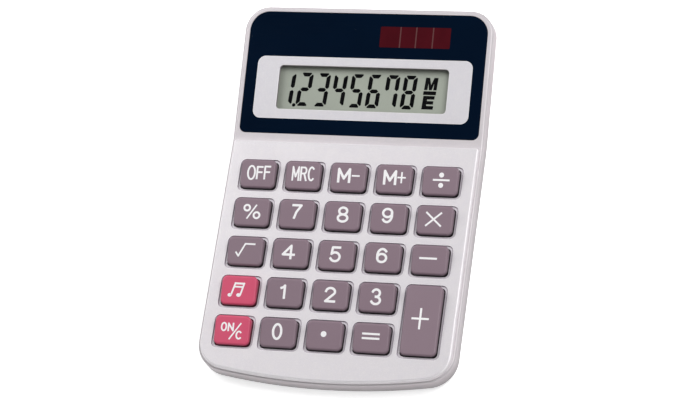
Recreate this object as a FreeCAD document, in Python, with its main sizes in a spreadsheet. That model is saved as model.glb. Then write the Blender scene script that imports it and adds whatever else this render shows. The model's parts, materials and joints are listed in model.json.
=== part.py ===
"""Small desk calculator with a raised keypad plate and a tilted display head.

Sizes are millimetres and degrees. The calculator stands on its feet, its keypad faces up and
its front edge points to -Y. The origin is on the desk, under the middle of the whole object.
"""
import FreeCAD
import Part
import Sketcher
import math
import os

Vector = FreeCAD.Vector
X_AXIS = Vector(1, 0, 0)
Z_AXIS = Vector(0, 0, 1)

DIMENSIONS = (
    ("column_pitch", 17.5, "key columns, centre to centre"),
    ("row_pitch", 15.5, "key rows, centre to centre"),
    ("deck_tilt", 5, "slope of the keypad on the desk"),
    ("head_tilt", 9.5, "further slope of the display head"),
    ("origin_y", 5.6475, "first key row, from the middle of the object"),
    ("origin_z", 17.1, "first key row, from the desk to the keypad's face"),
    ("case_width", 97, "whole width"),
    ("band_height", 6.1, "visible side band of the upper case"),
    ("wall", 2, "side walls of the upper case"),
    ("roof", 2, "upper case under the keypad plate"),
    ("head_roof", 2.6, "upper case at the display head"),
    ("bend_y", 15.6, "bend between keypad and head, behind the first key row"),
    ("bend_radius", 10, "inside of the bend"),
    ("head_length", 52.2, "bend to rear edge, along the slope"),
    ("case_front", 79.6, "front edge of the case, from the first key row"),
    ("case_front_corner", 11, "corner radius"),
    ("case_rear_corner", 9.3, "corner radius"),
    ("bow_radius", 240, "curve of the front edge"),
    ("edge_round", 1, "rounding along the top of the side band"),
    ("deck_width", 94.5, "keypad plate"),
    ("deck_front", 79, "front edge of the keypad plate, from the first key row"),
    ("deck_rear", 14.4, "rear edge of the keypad plate, from the first key row"),
    ("deck_rise", 1.8, "keypad plate above the side ledge, and its thickness"),
    ("deck_corner", 10, "front corner radius of the keypad plate"),
    ("deck_rear_corner", 1, "rear corner radius of the keypad plate"),
    ("deck_round", 0.8, "rounding of the keypad plate's top edge"),
    ("opening_width", 88, "opening in the roof under the keypad plate"),
    ("opening_front", 69.2, "its front edge, from the first key row"),
    ("opening_rear", 9.5, "its rear edge, from the first key row"),
    ("key_width", 13.5, "key cap"),
    ("key_depth", 10.7, "key cap, front to rear"),
    ("key_corner", 1.9, "upright corners of the cap"),
    ("key_round", 0.8, "top edges of the cap"),
    ("key_rear", 3.1, "rear of the cap's sloping face above the keypad plate"),
    ("key_front", 1.2, "front of that face above the plate"),
    ("key_travel", 1.2, "press"),
    ("flange_margin", 1, "flange beyond the cap, each side"),
    ("flange_thickness", 1, "flange that holds the key under the plate"),
    ("key_wall", 1.3, "cap wall and face"),
    ("stem_diameter", 3, "stem that presses the dome"),
    ("stem_end", 3.6, "end of the stem, below the keypad's face"),
    ("hole_gap", 0.25, "gap between cap and hole, each side"),
    ("ledge_width", 0.9, "shallow step round each hole"),
    ("ledge_depth", 0.55, "depth of that step"),
    ("hole_corner", 1.6, "corner radius of the hole"),
    ("ledge_corner", 2.2, "corner radius of the step"),
    ("rest_gap", 0.05, "air between parts that only rest on each other"),
    ("board_top", 6, "circuit board's upper face, below the keypad's face"),
    ("board_thickness", 1.2, "circuit board"),
    ("mat_thickness", 0.6, "rubber sheet"),
    ("dome_base", 7, "dome diameter at its foot"),
    ("boss_diameter", 4, "screw bosses of the keypad plate"),
    ("pin_diameter", 2, "locating pins of the keypad plate"),
    ("panel_width", 92.6, "navy panel"),
    ("panel_offset", 2.5, "bend to the panel's front edge"),
    ("panel_length", 47.7, "navy panel, along the slope"),
    ("panel_thickness", 1.2, "navy panel"),
    ("panel_front_corner", 2.4, "corner radius"),
    ("panel_rear_corner", 7.3, "corner radius"),
    ("bezel_width", 83.7, "silver frame"),
    ("bezel_offset", 5.8, "panel's front edge to the silver frame"),
    ("bezel_length", 24.4, "silver frame, along the slope"),
    ("bezel_corner", 3, "corner radius"),
    ("view_width", 65.9, "display opening"),
    ("view_offset", 9.6, "panel's front edge to the display opening"),
    ("view_length", 17.1, "display opening, along the slope"),
    ("view_corner", 1.5, "corner radius"),
    ("window_width", 72, "clear window under the frame"),
    ("window_length", 22, "clear window, along the slope"),
    ("window_thickness", 1.1, "clear window"),
    ("glass_length", 24, "display glass, along the slope"),
    ("glass_ply", 1, "each of its two sheets"),
    ("solar_x", 18.65, "middle of the solar strip, right of the middle"),
    ("solar_offset", 34.6, "panel's front edge to the solar strip"),
    ("solar_width", 27.3, "solar strip"),
    ("solar_length", 8.2, "solar strip, along the slope"),
    ("cell_width", 28.8, "solar cell behind the strip"),
    ("cell_length", 9.8, "solar cell, along the slope"),
    ("cell_thickness", 1.1, "solar cell"),
    ("hull_floor", 1, "underside of the lower case, above the desk"),
    ("hull_setback", 1, "lower case inside the side band's outer face"),
    ("hull_draft", 17, "slope of the lower case's sides"),
    ("hull_wall", 1.5, "walls and floor of the lower case"),
    ("hull_rear_corner", 7, "corner radius"),
    ("seam", 0.12, "open seam between the two cases"),
    ("battery_x", 2, "middle of the battery"),
    ("battery_y", 56.2, "middle of the battery"),
    ("battery_z", 10.65, "middle of the battery"),
    ("battery_diameter", 14.2, "AA size"),
    ("battery_length", 49.2, "AA size without its nub"),
    ("bay_width", 62, "battery bay"),
    ("bay_front", 48.3, "battery bay"),
    ("bay_rear", 64.1, "battery bay"),
    ("bay_height", 17.85, "battery bay's ceiling, above the desk"),
    ("bay_wall", 1.2, "battery bay"),
    ("bay_round", 4.2, "battery bay's upper front edge"),
    ("cover_width", 57, "battery cover"),
    ("cover_thickness", 1.5, "battery cover"),
    ("tongue_width", 59.6, "battery cover's inner tongue"),
    ("tongue_thickness", 0.8, "battery cover's inner tongue"),
    ("foot_diameter", 8, "rubber feet"),
    ("foot_recess", 0.5, "feet let into the floor"),
    ("front_foot_y", 56, "front feet, ahead of the middle"),
    ("rear_foot_y", 49, "rear feet, behind the middle"),
    ("foot_x", 36.4, "feet and rear posts, from the middle"),
    ("post_diameter", 6, "case screw posts"),
    ("front_post_x", 26.25, "front posts"),
    ("front_post_y", 66, "front posts, ahead of the middle"),
    ("rear_post_y", 60.5, "rear posts, behind the middle"),
    ("case_screw_length", 5, "shank"),
    ("case_screw_diameter", 2, "shank"),
    ("board_screw_length", 4.2, "shank"),
    ("board_screw_diameter", 1.6, "shank"),
    ("sounder_x", -24, "sounder disc"),
    ("sounder_y", 32, "sounder disc"),
    ("sounder_diameter", 20, "sounder disc"),
    ("wire_diameter", 1, "inner wires"),
)

KEYS = (
    ("key_off", 0, 0, 1),
    ("key_memory_recall", 1, 0, 1),
    ("key_memory_minus", 2, 0, 1),
    ("key_memory_plus", 3, 0, 1),
    ("key_divide", 4, 0, 1),
    ("key_percent", 0, 1, 1),
    ("key_7", 1, 1, 1),
    ("key_8", 2, 1, 1),
    ("key_9", 3, 1, 1),
    ("key_multiply", 4, 1, 1),
    ("key_root", 0, 2, 1),
    ("key_4", 1, 2, 1),
    ("key_5", 2, 2, 1),
    ("key_6", 3, 2, 1),
    ("key_minus", 4, 2, 1),
    ("key_tone", 0, 3, 1),
    ("key_1", 1, 3, 1),
    ("key_2", 2, 3, 1),
    ("key_3", 3, 3, 1),
    ("key_plus", 4, 3, 2),
    ("key_on_clear", 0, 4, 1),
    ("key_0", 1, 4, 1),
    ("key_point", 2, 4, 1),
    ("key_equals", 3, 4, 1),
)
COLUMNS = 5
ROWS = 5
MIDDLE_COLUMN = 2
BOSS_CELLS = ((0.5, 0.5), (3.5, 0.5), (0.5, 3.5), (2.5, 3.5))
REACH = 200.0
SIDES = (-1, 1)

doc = FreeCAD.newDocument("Calculator")
sheet = doc.addObject("Spreadsheet::Sheet", "Dimensions")
nodes = []


class Size:
    """A number together with the sheet formula that gives it."""

    def __init__(self, value, formula):
        self.value = value
        self.formula = formula

    def __add__(self, other):
        return combine(self, "+", other)

    def __radd__(self, other):
        return combine(other, "+", self)

    def __sub__(self, other):
        return combine(self, "-", other)

    def __rsub__(self, other):
        return combine(other, "-", self)

    def __mul__(self, other):
        return combine(self, "*", other)

    def __rmul__(self, other):
        return combine(other, "*", self)

    def __truediv__(self, other):
        return combine(self, "/", other)

    def __neg__(self):
        return combine(0, "-", self)


def as_size(number):
    """The number as a Size."""
    if isinstance(number, Size):
        return number
    return Size(float(number), f"({number})")


def combine(first, sign, second):
    """First and second joined by one of the four signs."""
    first = as_size(first)
    second = as_size(second)
    value = {
        "+": first.value + second.value,
        "-": first.value - second.value,
        "*": first.value * second.value,
        "/": first.value / second.value if second.value else 0.0,
    }[sign]
    return Size(value, f"({first.formula} {sign} {second.formula})")


def cosine(angle):
    """Cosine of a Size in degrees."""
    return Size(math.cos(math.radians(angle.value)), f"cos({angle.formula})")


def sine(angle):
    """Sine of a Size in degrees."""
    return Size(math.sin(math.radians(angle.value)), f"sin({angle.formula})")


def tangent(angle):
    """Tangent of a Size in degrees."""
    return Size(math.tan(math.radians(angle.value)), f"tan({angle.formula})")


def fill_sheet():
    """Write the dimensions into the sheet, one row each."""
    for row, (alias, value, meaning) in enumerate(DIMENSIONS, 1):
        sheet.set(f"A{row}", alias)
        sheet.set(f"B{row}", str(value))
        sheet.set(f"C{row}", meaning)
        sheet.setAlias(f"B{row}", alias)
    doc.recompute()


class Dimensions:
    """Every dimension of the sheet as a Size attribute."""

    def __init__(self):
        for alias, value, _ in DIMENSIONS:
            setattr(self, alias, Size(float(value), f"Dimensions.{alias}"))


def bind(target, path, size):
    """Bind a property, or one member of it, to the formula of a size."""
    if "Dimensions" in size.formula:
        target.setExpression(path, size.formula)


def seat(target, prop, x=0, y=0, z=0, tilt=0):
    """Set a placement property to a point and a turn about X, and bind it."""
    place = {"x": as_size(x), "y": as_size(y), "z": as_size(z)}
    tilt = as_size(tilt)
    axis = X_AXIS
    if tilt.value < 0:
        tilt = -tilt
        axis = -X_AXIS
    point = Vector(*(size.value for size in place.values()))
    setattr(target, prop, FreeCAD.Placement(point, FreeCAD.Rotation(axis, tilt.value)))
    for name, size in place.items():
        bind(target, f"{prop}.Base.{name}", size)
    if tilt.value > 0:
        bind(target, f"{prop}.Rotation.Angle", tilt)


class Frame:
    """A sloping plane across the calculator: where its origin is and how far it tilts back."""

    def __init__(self, y, z, tilt):
        self.y = as_size(y)
        self.z = as_size(z)
        self.tilt = as_size(tilt)

    def at(self, y, z):
        """Height and depth in the object of a point given in the frame."""
        y_out = self.y + y * cosine(self.tilt) - z * sine(self.tilt)
        z_out = self.z + y * sine(self.tilt) + z * cosine(self.tilt)
        return y_out, z_out

    def inside(self, y, z):
        """A point of the object, given in the frame."""
        y_in = (y - self.y) * cosine(self.tilt) + (z - self.z) * sine(self.tilt)
        z_in = (z - self.z) * cosine(self.tilt) - (y - self.y) * sine(self.tilt)
        return y_in, z_in

    def carry(self, target, x=0, y=0, z=0):
        """Place a body at a point of the frame."""
        y_out, z_out = self.at(as_size(y), as_size(z))
        seat(target, "Placement", x, y_out, z_out, self.tilt)


class Drawing:
    """Lines, arcs and circles with the sizes that hold them, made into one sketch."""

    def __init__(self, body, name, plane="XY_Plane", x=0, y=0, z=0, tilt=0):
        self.sketch = body.newObject("Sketcher::SketchObject", f"{body.Name}_{name}")
        support = next(item for item in body.Origin.OriginFeatures if item.Role == plane)
        self.sketch.AttachmentSupport = [(support, "")]
        self.sketch.MapMode = "FlatFace"
        seat(self.sketch, "AttachmentOffset", x, y, z, tilt)
        self.shapes = []
        self.rules = []

    def add(self, shape):
        """Add one shape and return its number."""
        self.shapes.append(shape)
        return len(self.shapes) - 1

    def rule(self, kind, *where, size=None):
        """Add one constraint, with the size that it is bound to."""
        if size is None:
            self.rules.append((Sketcher.Constraint(kind, *where), None))
        else:
            self.rules.append((Sketcher.Constraint(kind, *where, size.value), size))

    def hold_across(self, shape, end, x):
        """Hold one point of a shape at its distance right of the origin."""
        if abs(x.value) < 1e-9:
            self.rule("PointOnObject", shape, end, -2)
        else:
            self.rule("DistanceX", -1, 1, shape, end, size=x)

    def hold_up(self, shape, end, y):
        """Hold one point of a shape at its distance above the origin."""
        if abs(y.value) < 1e-9:
            self.rule("PointOnObject", shape, end, -1)
        else:
            self.rule("DistanceY", -1, 1, shape, end, size=y)

    def line(self, x_start, y_start, x_end, y_end):
        """Add a line."""
        start = Vector(x_start, y_start, 0)
        return self.add(Part.LineSegment(start, Vector(x_end, y_end, 0)))

    def arc(self, x, y, radius, start, end):
        """Add an arc, anticlockwise between two angles in radians."""
        circle = Part.Circle(Vector(x, y, 0), Z_AXIS, radius)
        return self.add(Part.ArcOfCircle(circle, start, end))

    def circle(self, x, y, radius):
        """Add a circle that is held at its centre."""
        x, y, radius = as_size(x), as_size(y), as_size(radius)
        shape = self.add(Part.Circle(Vector(x.value, y.value, 0), Z_AXIS, radius.value))
        self.rule("Radius", shape, size=radius)
        self.hold_across(shape, 3, x)
        self.hold_up(shape, 3, y)

    def polygon(self, *points):
        """Add a closed outline of straight lines through points."""
        points = [(as_size(x), as_size(y)) for x, y in points]
        first = len(self.shapes)
        count = len(points)
        for index, (x, y) in enumerate(points):
            x_next, y_next = points[(index + 1) % count]
            self.line(x.value, y.value, x_next.value, y_next.value)
        for index, (x, y) in enumerate(points):
            self.rule("Coincident", first + index, 2, first + (index + 1) % count, 1)
            self.hold_across(first + index, 1, x)
            self.hold_up(first + index, 1, y)

    def rectangle(self, left, right, front, rear, corner, rear_corner=None):
        """Add a rectangle with rounded corners."""
        left, right, front, rear = (as_size(side) for side in (left, right, front, rear))
        corner = as_size(corner)
        back = as_size(corner if rear_corner is None else rear_corner)
        west, east, south, north = left.value, right.value, front.value, rear.value
        small, large = corner.value, back.value
        quarter = math.pi / 2
        bottom = self.line(west + small, south, east - small, south)
        side_east = self.line(east, south + small, east, north - large)
        top = self.line(east - large, north, west + large, north)
        side_west = self.line(west, north - large, west, south + small)
        arcs = (
            self.arc(east - small, south + small, small, -quarter, 0),
            self.arc(east - large, north - large, large, 0, quarter),
            self.arc(west + large, north - large, large, quarter, 2 * quarter),
            self.arc(west + small, south + small, small, 2 * quarter, 3 * quarter),
        )
        sides = (bottom, side_east, top, side_west)
        for index, arc in enumerate(arcs):
            self.rule("Tangent", sides[index], 2, arc, 1)
            self.rule("Tangent", arc, 2, sides[(index + 1) % len(sides)], 1)
        for arc, radius in zip(arcs, (corner, back, back, corner)):
            self.rule("Radius", arc, size=radius)
        self.rule("Horizontal", bottom)
        self.rule("Horizontal", top)
        self.rule("Vertical", side_east)
        self.rule("Vertical", side_west)
        self.hold_up(bottom, 1, front)
        self.hold_up(top, 1, rear)
        self.hold_across(side_east, 1, right)
        self.hold_across(side_west, 1, left)

    def bowed(self, half_width, rear, front, bow, corner):
        """Add an outline with straight sides and rear, a bowed front edge and round corners."""
        half, back = half_width.value, rear.value
        bow_y = front.value + bow.value
        corner_x = half - corner.value
        reach = bow.value - corner.value
        corner_y = bow_y - math.sqrt(reach ** 2 - corner_x ** 2)
        touch = math.atan2(corner_y - bow_y, corner_x)
        edge = self.line(half, back, -half, back)
        west = self.line(-half, back, -half, corner_y)
        west_arc = self.arc(-corner_x, corner_y, corner.value, -math.pi, -math.pi - touch)
        front_arc = self.arc(0, bow_y, bow.value, -math.pi - touch, touch)
        east_arc = self.arc(corner_x, corner_y, corner.value, touch, 0)
        east = self.line(half, corner_y, half, back)
        self.rule("Coincident", edge, 2, west, 1)
        self.rule("Tangent", west, 2, west_arc, 1)
        self.rule("Tangent", west_arc, 2, front_arc, 1)
        self.rule("Tangent", front_arc, 2, east_arc, 1)
        self.rule("Tangent", east_arc, 2, east, 1)
        self.rule("Coincident", east, 2, edge, 1)
        self.rule("Vertical", west)
        self.rule("Vertical", east)
        self.rule("Radius", west_arc, size=corner)
        self.rule("Radius", east_arc, size=corner)
        self.rule("Radius", front_arc, size=bow)
        self.rule("PointOnObject", front_arc, 3, -2)
        self.hold_up(front_arc, 3, front + bow)
        self.hold_across(edge, 1, half_width)
        self.hold_across(edge, 2, -half_width)
        self.hold_up(edge, 1, rear)
        self.hold_up(edge, 2, rear)

    def done(self):
        """Make the sketch."""
        self.sketch.addGeometry(self.shapes, False)
        numbers = self.sketch.addConstraint([rule for rule, _ in self.rules])
        for number, (_, size) in zip(numbers, self.rules):
            if size is not None:
                bind(self.sketch, f"Constraints[{number}]", size)
        return self.sketch


def new_body(name):
    """A body whose label is the node's name."""
    body = doc.addObject("PartDesign::Body", name.title().replace("_", ""))
    body.Label = name
    nodes.append(body)
    return body


def add_pad(body, name, sketch, length, symmetric=False, reverse=False, taper=None):
    """Raise a sketch into a solid."""
    feature = body.newObject("PartDesign::Pad", f"{body.Name}_{name}")
    feature.Profile = sketch
    feature.Length = as_size(length).value
    bind(feature, "Length", as_size(length))
    feature.SideType = "Symmetric" if symmetric else "One side"
    feature.Reversed = reverse
    if taper is not None:
        feature.TaperAngle = taper
    doc.recompute()
    return feature


def cut_pocket(body, name, sketch, depth, symmetric=False, reverse=False):
    """Cut a sketch into the body, and make sure that it took material away."""
    before = body.Shape.Volume
    feature = body.newObject("PartDesign::Pocket", f"{body.Name}_{name}")
    feature.Profile = sketch
    feature.Length = as_size(depth).value
    bind(feature, "Length", as_size(depth))
    feature.SideType = "Symmetric" if symmetric else "One side"
    feature.Reversed = reverse
    doc.recompute()
    if feature.Shape.isNull() or feature.Shape.Volume > before - 1e-4:
        raise RuntimeError(f"{feature.Name} cuts nothing")
    return feature


def round_edges(body, name, radius, chosen):
    """Fillet the edges of the body that the test chooses."""
    base = body.Tip
    edges = base.Shape.Edges
    names = [f"Edge{number}" for number, edge in enumerate(edges, 1) if chosen(edge)]
    if not names:
        raise RuntimeError(f"{body.Name}_{name} finds no edge")
    feature = body.newObject("PartDesign::Fillet", f"{body.Name}_{name}")
    feature.Base = (base, names)
    feature.Radius = radius.value
    bind(feature, "Radius", radius)
    doc.recompute()
    return feature


def repeat_over_keys(body, features):
    """Repeat features of the first key over all columns and rows."""
    axes = {item.Role: item for item in body.Origin.OriginFeatures}
    pattern = body.newObject("PartDesign::LinearPattern", f"{body.Name}_Keys")
    pattern.Originals = features
    pattern.Direction = (axes["X_Axis"], [""])
    pattern.Mode = "Extent"
    bind(pattern, "Length", d.column_pitch * (COLUMNS - 1))
    pattern.Occurrences = COLUMNS
    pattern.Direction2 = (axes["Y_Axis"], [""])
    pattern.Reversed2 = True
    pattern.Mode2 = "Extent"
    bind(pattern, "Length2", d.row_pitch * (ROWS - 1))
    pattern.Occurrences2 = ROWS
    body.Tip = pattern
    doc.recompute()


def middle(edge):
    """The point half way along an edge."""
    return edge.valueAt((edge.FirstParameter + edge.LastParameter) / 2)


def on_level(edge, level, slack=1e-3):
    """Whether the whole edge lies at one height."""
    box = edge.BoundBox
    return abs(box.ZMin - level) < slack and abs(box.ZMax - level) < slack


def upright(edge):
    """Whether the edge is a straight one across the XY plane."""
    box = edge.BoundBox
    return box.XLength < 1e-3 and box.YLength < 1e-3 and box.ZLength > 1e-3


def key_place(column, row):
    """Centre of a key on the keypad's face; column and row may lie between keys."""
    return (column - MIDDLE_COLUMN) * d.column_pitch, -row * d.row_pitch


def key_centre(column, row, rows):
    """Centre of a key that may be more than one row tall."""
    return key_place(column, row + (rows - 1) / 2)


def build_upper_case():
    """Upper case: a roof bent at the head with a side band, open below."""
    body = new_body("upper_case")
    half = d.case_width / 2
    low = d.deck_rise + d.band_height
    end = d.head_length + 4
    drawing = Drawing(body, "SideView", "YZ_Plane")
    drawing.polygon(
        (-d.case_front - 4, -d.deck_rise),
        (d.bend_y, -d.deck_rise),
        (d.bend_y + end * cosine(d.head_tilt), end * sine(d.head_tilt) - d.deck_rise),
        (
            d.bend_y + end * cosine(d.head_tilt) + d.band_height * sine(d.head_tilt),
            end * sine(d.head_tilt) - d.deck_rise - d.band_height * cosine(d.head_tilt),
        ),
        (d.bend_y + d.band_height * tangent(d.head_tilt / 2), -low),
        (-d.case_front - 4, -low),
    )
    add_pad(body, "Bar", drawing.done(), d.case_width, symmetric=True)

    def crosses(edge, z):
        box = edge.BoundBox
        near_bend = abs(box.YMin - d.bend_y.value) < 1 and box.YLength < 1e-3
        return near_bend and abs(box.ZMin - z.value) < 1e-3 and box.XLength > 1

    round_edges(body, "BendTop", d.bend_radius, lambda edge: crosses(edge, -d.deck_rise))
    low_radius = d.bend_radius + d.band_height
    round_edges(body, "BendBelow", low_radius, lambda edge: crosses(edge, -low))

    drawing = Drawing(body, "FrontTrim")
    drawing.polygon((-REACH, -REACH), (REACH, -REACH), (REACH, REACH), (-REACH, REACH))
    drawing.bowed(half, as_size(REACH / 2), -d.case_front, d.bow_radius, d.case_front_corner)
    cut_pocket(body, "TrimFront", drawing.done(), REACH, symmetric=True)

    drawing = Drawing(body, "RearTrim", y=d.bend_y, z=-d.deck_rise, tilt=d.head_tilt)
    drawing.polygon(
        (-REACH, d.head_length), (REACH, d.head_length), (REACH, REACH), (-REACH, REACH)
    )
    cut_pocket(body, "TrimRear", drawing.done(), REACH, symmetric=True)

    def rear_corner(edge):
        point = middle(edge)
        box = edge.BoundBox
        at_side = abs(abs(point.x) - half.value) < 1e-3 and box.XLength < 1e-3
        return at_side and point.y > d.bend_y.value + 45 and box.ZLength > 5

    round_edges(body, "RearCorners", d.case_rear_corner, rear_corner)

    def top_height(y):
        past = max(0.0, y - d.bend_y.value)
        return past * math.tan(math.radians(d.head_tilt.value)) - d.deck_rise.value

    def on_rim(edge):
        ends = [vertex.Point for vertex in edge.Vertexes] + [middle(edge)]
        level = all(abs(point.z - top_height(point.y)) < 0.2 for point in ends)
        across = edge.BoundBox.XLength > 90 and abs(ends[0].y - d.bend_y.value) < 5
        return level and not across

    round_edges(body, "Rim", d.edge_round, on_rim)

    drawing = Drawing(body, "KeypadHollow", z=-(d.deck_rise + d.roof))
    inner = half - d.wall
    inner_front = d.wall - d.case_front
    drawing.bowed(
        inner, d.bend_y + 3, inner_front, d.bow_radius - d.wall, d.case_front_corner - d.wall
    )
    cut_pocket(body, "HollowKeypad", drawing.done(), 20)

    def head_drawing(name, depth):
        """A drawing on a plane under the head's face, with Y along its slope."""
        y = d.bend_y + depth * sine(d.head_tilt)
        z = -d.deck_rise - depth * cosine(d.head_tilt)
        return Drawing(body, name, y=y, z=z, tilt=d.head_tilt)

    drawing = head_drawing("HeadHollow", d.head_roof)
    rear_in = d.case_rear_corner - d.wall
    drawing.rectangle(-inner, inner, as_size(-12), d.head_length - d.wall, rear_in)
    cut_pocket(body, "HollowHead", drawing.done(), 20)

    for name, x, y, foot, length in post_places():
        y_in, z_in = deck.inside(as_size(y), foot)
        drawing = Drawing(body, f"{name}Posts", y=y_in, z=z_in, tilt=-d.deck_tilt)
        for hand in SIDES:
            drawing.circle(hand * x, 0, d.post_diameter / 2 - (0.3 if name == "Front" else 0))
        add_pad(body, f"{name}PostPads", drawing.done(), length)
        drawing = Drawing(body, f"{name}Pilots", y=y_in, z=z_in, tilt=-d.deck_tilt)
        for hand in SIDES:
            drawing.circle(hand * x, 0, d.case_screw_diameter / 2 + 0.02)
        cut_pocket(body, f"{name}PilotHoles", drawing.done(), pilot_depth(), reverse=True)

    drawing = Drawing(body, "KeyOpening", z=-d.deck_rise)
    side = d.opening_width / 2
    drawing.rectangle(-side, side, -d.opening_front, d.opening_rear, 3)
    for x, y in pin_places():
        drawing.circle(x, y, d.pin_diameter / 2 + d.rest_gap)
    cut_pocket(body, "OpenKeypad", drawing.done(), d.roof + 1)

    clear = d.rest_gap * 2
    drawing = head_drawing("PanelRecess", as_size(0))
    side = d.panel_width / 2 + clear
    front = d.panel_offset - clear
    rear = d.panel_offset + d.panel_length + clear
    front_corner = d.panel_front_corner + clear
    drawing.rectangle(-side, side, front, rear, front_corner, d.panel_rear_corner + clear)
    cut_pocket(body, "RecessPanel", drawing.done(), d.panel_thickness)

    drawing = head_drawing("WindowOpening", as_size(0))
    side = d.window_width / 2 + clear
    centre = d.panel_offset + d.view_offset + d.view_length / 2
    reach = d.window_length / 2 + clear
    drawing.rectangle(-side, side, centre - reach, centre + reach, 1)
    cell = d.cell_width / 2 + clear
    cell_centre = d.panel_offset + d.solar_offset + d.solar_length / 2
    reach = d.cell_length / 2 + clear
    front, rear = cell_centre - reach, cell_centre + reach
    drawing.rectangle(d.solar_x - cell, d.solar_x + cell, front, rear, 0.5)
    cut_pocket(body, "OpenHead", drawing.done(), d.head_roof + 1)

    drawing = head_drawing("GlassRibs", d.head_roof + 2)
    for hand in SIDES:
        near = d.window_width / 2 + 0.3
        edges = sorted((hand * near, hand * (near + 1.2)), key=lambda size: size.value)
        drawing.rectangle(*edges, centre - 12, centre + 12, 0.3)
    add_pad(body, "Ribs", drawing.done(), 2.3)

    deck.carry(body)


def pin_places():
    """Locating pins of the keypad plate, in the keypad's frame."""
    rear = [(as_size(32 * hand), as_size(11.9)) for hand in SIDES]
    front = [(as_size(14 * hand), as_size(-73.5)) for hand in SIDES]
    return rear + front


def boss_places():
    """Screw bosses of the keypad plate, in the keypad's frame."""
    return [key_place(column, row) for column, row in BOSS_CELLS]


def front_seat():
    """Height where the front posts meet the lower case."""
    return d.hull_floor + d.hull_wall + 1.2


def rear_seat():
    """Height where the rear posts meet the lower case."""
    return d.hull_floor + 11


def post_places():
    """Name, X, Y, foot height and length of the pairs of case posts."""
    yield "Front", d.front_post_x, -d.front_post_y, front_seat() + d.rest_gap, as_size(4.3)
    yield "Rear", d.foot_x, d.rear_post_y, rear_seat() + d.rest_gap, as_size(13.2)


def pilot_depth():
    """Depth of the pilot holes in the posts."""
    return d.case_screw_length - 0.8


def build_keypad_plate():
    """Keypad plate: stepped key holes, bosses for the board and locating pins."""
    body = new_body("keypad_plate")
    half = d.deck_width / 2
    drawing = Drawing(body, "Outline", z=-d.deck_rise)
    drawing.bowed(half, d.deck_rear, -d.deck_front, d.bow_radius, d.deck_corner)
    add_pad(body, "Plate", drawing.done(), d.deck_rise)

    def rear_corner(edge):
        return upright(edge) and middle(edge).y > d.deck_rear.value - 1

    round_edges(body, "RearCorners", d.deck_rear_corner, rear_corner)
    round_edges(body, "TopEdge", d.deck_round, lambda edge: on_level(edge, 0))

    hole_width = d.key_width / 2 + d.hole_gap
    hole_depth = d.key_depth / 2 + d.hole_gap
    cuts = (
        ("Step", d.ledge_width, d.ledge_corner, d.ledge_depth),
        ("Hole", as_size(0), d.hole_corner, d.deck_rise + 1),
    )
    for label, column, row, rows in (("Single", 0, 0, 1), ("Tall", 4, 3, 2)):
        x, y = key_centre(column, row, rows)
        pockets = []
        for name, margin, corner, depth in cuts:
            across = hole_width + margin
            along = hole_depth + margin + (rows - 1) * d.row_pitch / 2
            drawing = Drawing(body, f"{label}{name}")
            drawing.rectangle(x - across, x + across, y - along, y + along, corner)
            pockets.append(cut_pocket(body, f"Cut{label}{name}", drawing.done(), depth))
        if rows == 1:
            repeat_over_keys(body, pockets)

    length = d.board_top - d.deck_rise
    drawing = Drawing(body, "Bosses", z=-d.deck_rise)
    for x, y in boss_places():
        drawing.circle(x, y, d.boss_diameter / 2)
    add_pad(body, "BossPads", drawing.done(), length, reverse=True)
    drawing = Drawing(body, "Pins", z=-d.deck_rise)
    for x, y in pin_places():
        drawing.circle(x, y, d.pin_diameter / 2)
    add_pad(body, "PinPads", drawing.done(), d.roof, reverse=True)
    drawing = Drawing(body, "Pilots", z=-d.board_top)
    for x, y in boss_places():
        drawing.circle(x, y, d.board_screw_diameter / 2 + 0.02)
    cut_pocket(body, "PilotHoles", drawing.done(), length - 0.5, reverse=True)
    deck.carry(body)


def build_key(name, column, row, rows):
    """Key cap: hollow, with a flange under the plate and a stem over its dome."""
    body = new_body(name)
    tall = (rows - 1) * d.row_pitch / 2
    low = d.deck_rise + d.rest_gap + d.flange_thickness

    def block(label, width, depth, corner, z):
        """A rounded rectangle about the key's centre, at height z."""
        drawing = Drawing(body, label, z=z)
        drawing.rectangle(-width, width, -depth, depth, corner)
        return drawing.done()

    across = d.key_width / 2
    along = d.key_depth / 2 + tall
    rear, front = d.key_rear, d.key_front
    sketch = block("CapOutline", across, along, d.key_corner, -low)
    add_pad(body, "Cap", sketch, rear + low)
    drawing = Drawing(body, "Slope", "YZ_Plane")
    drawing.polygon(
        (-along - 1, rear + 1),
        (-along - 1, front),
        (-along, front),
        (along, rear),
        (along + 1, rear),
        (along + 1, rear + 1),
    )
    cut_pocket(body, "SlopingFace", drawing.done(), d.key_width + 2, symmetric=True)
    rise = (rear.value - front.value) / (2 * along.value)

    def on_face(edge):
        """Whether the edge goes round the sloping face."""
        return all(
            abs(point.Z - front.value - rise * (point.Y + along.value)) < 1e-3 for point in edge.Vertexes
        )

    round_edges(body, "TopEdge", d.key_round, on_face)
    margin = d.flange_margin
    sketch = block("FlangeOutline", across + margin, along + margin, d.key_corner + 0.2, -low)
    add_pad(body, "Flange", sketch, d.flange_thickness)
    wall = d.key_wall
    sketch = block("HollowOutline", across - wall, along - wall, as_size(0.6), -low)
    cut_pocket(body, "Hollow", sketch, front + low - wall, reverse=True)
    drawing = Drawing(body, "StemOutline", z=-d.stem_end)
    drawing.circle(0, 0, d.stem_diameter / 2)
    add_pad(body, "Stem", drawing.done(), d.stem_end + front - wall + 0.3)
    x, y = key_centre(column, row, rows)
    deck.carry(body, x, y)


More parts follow.
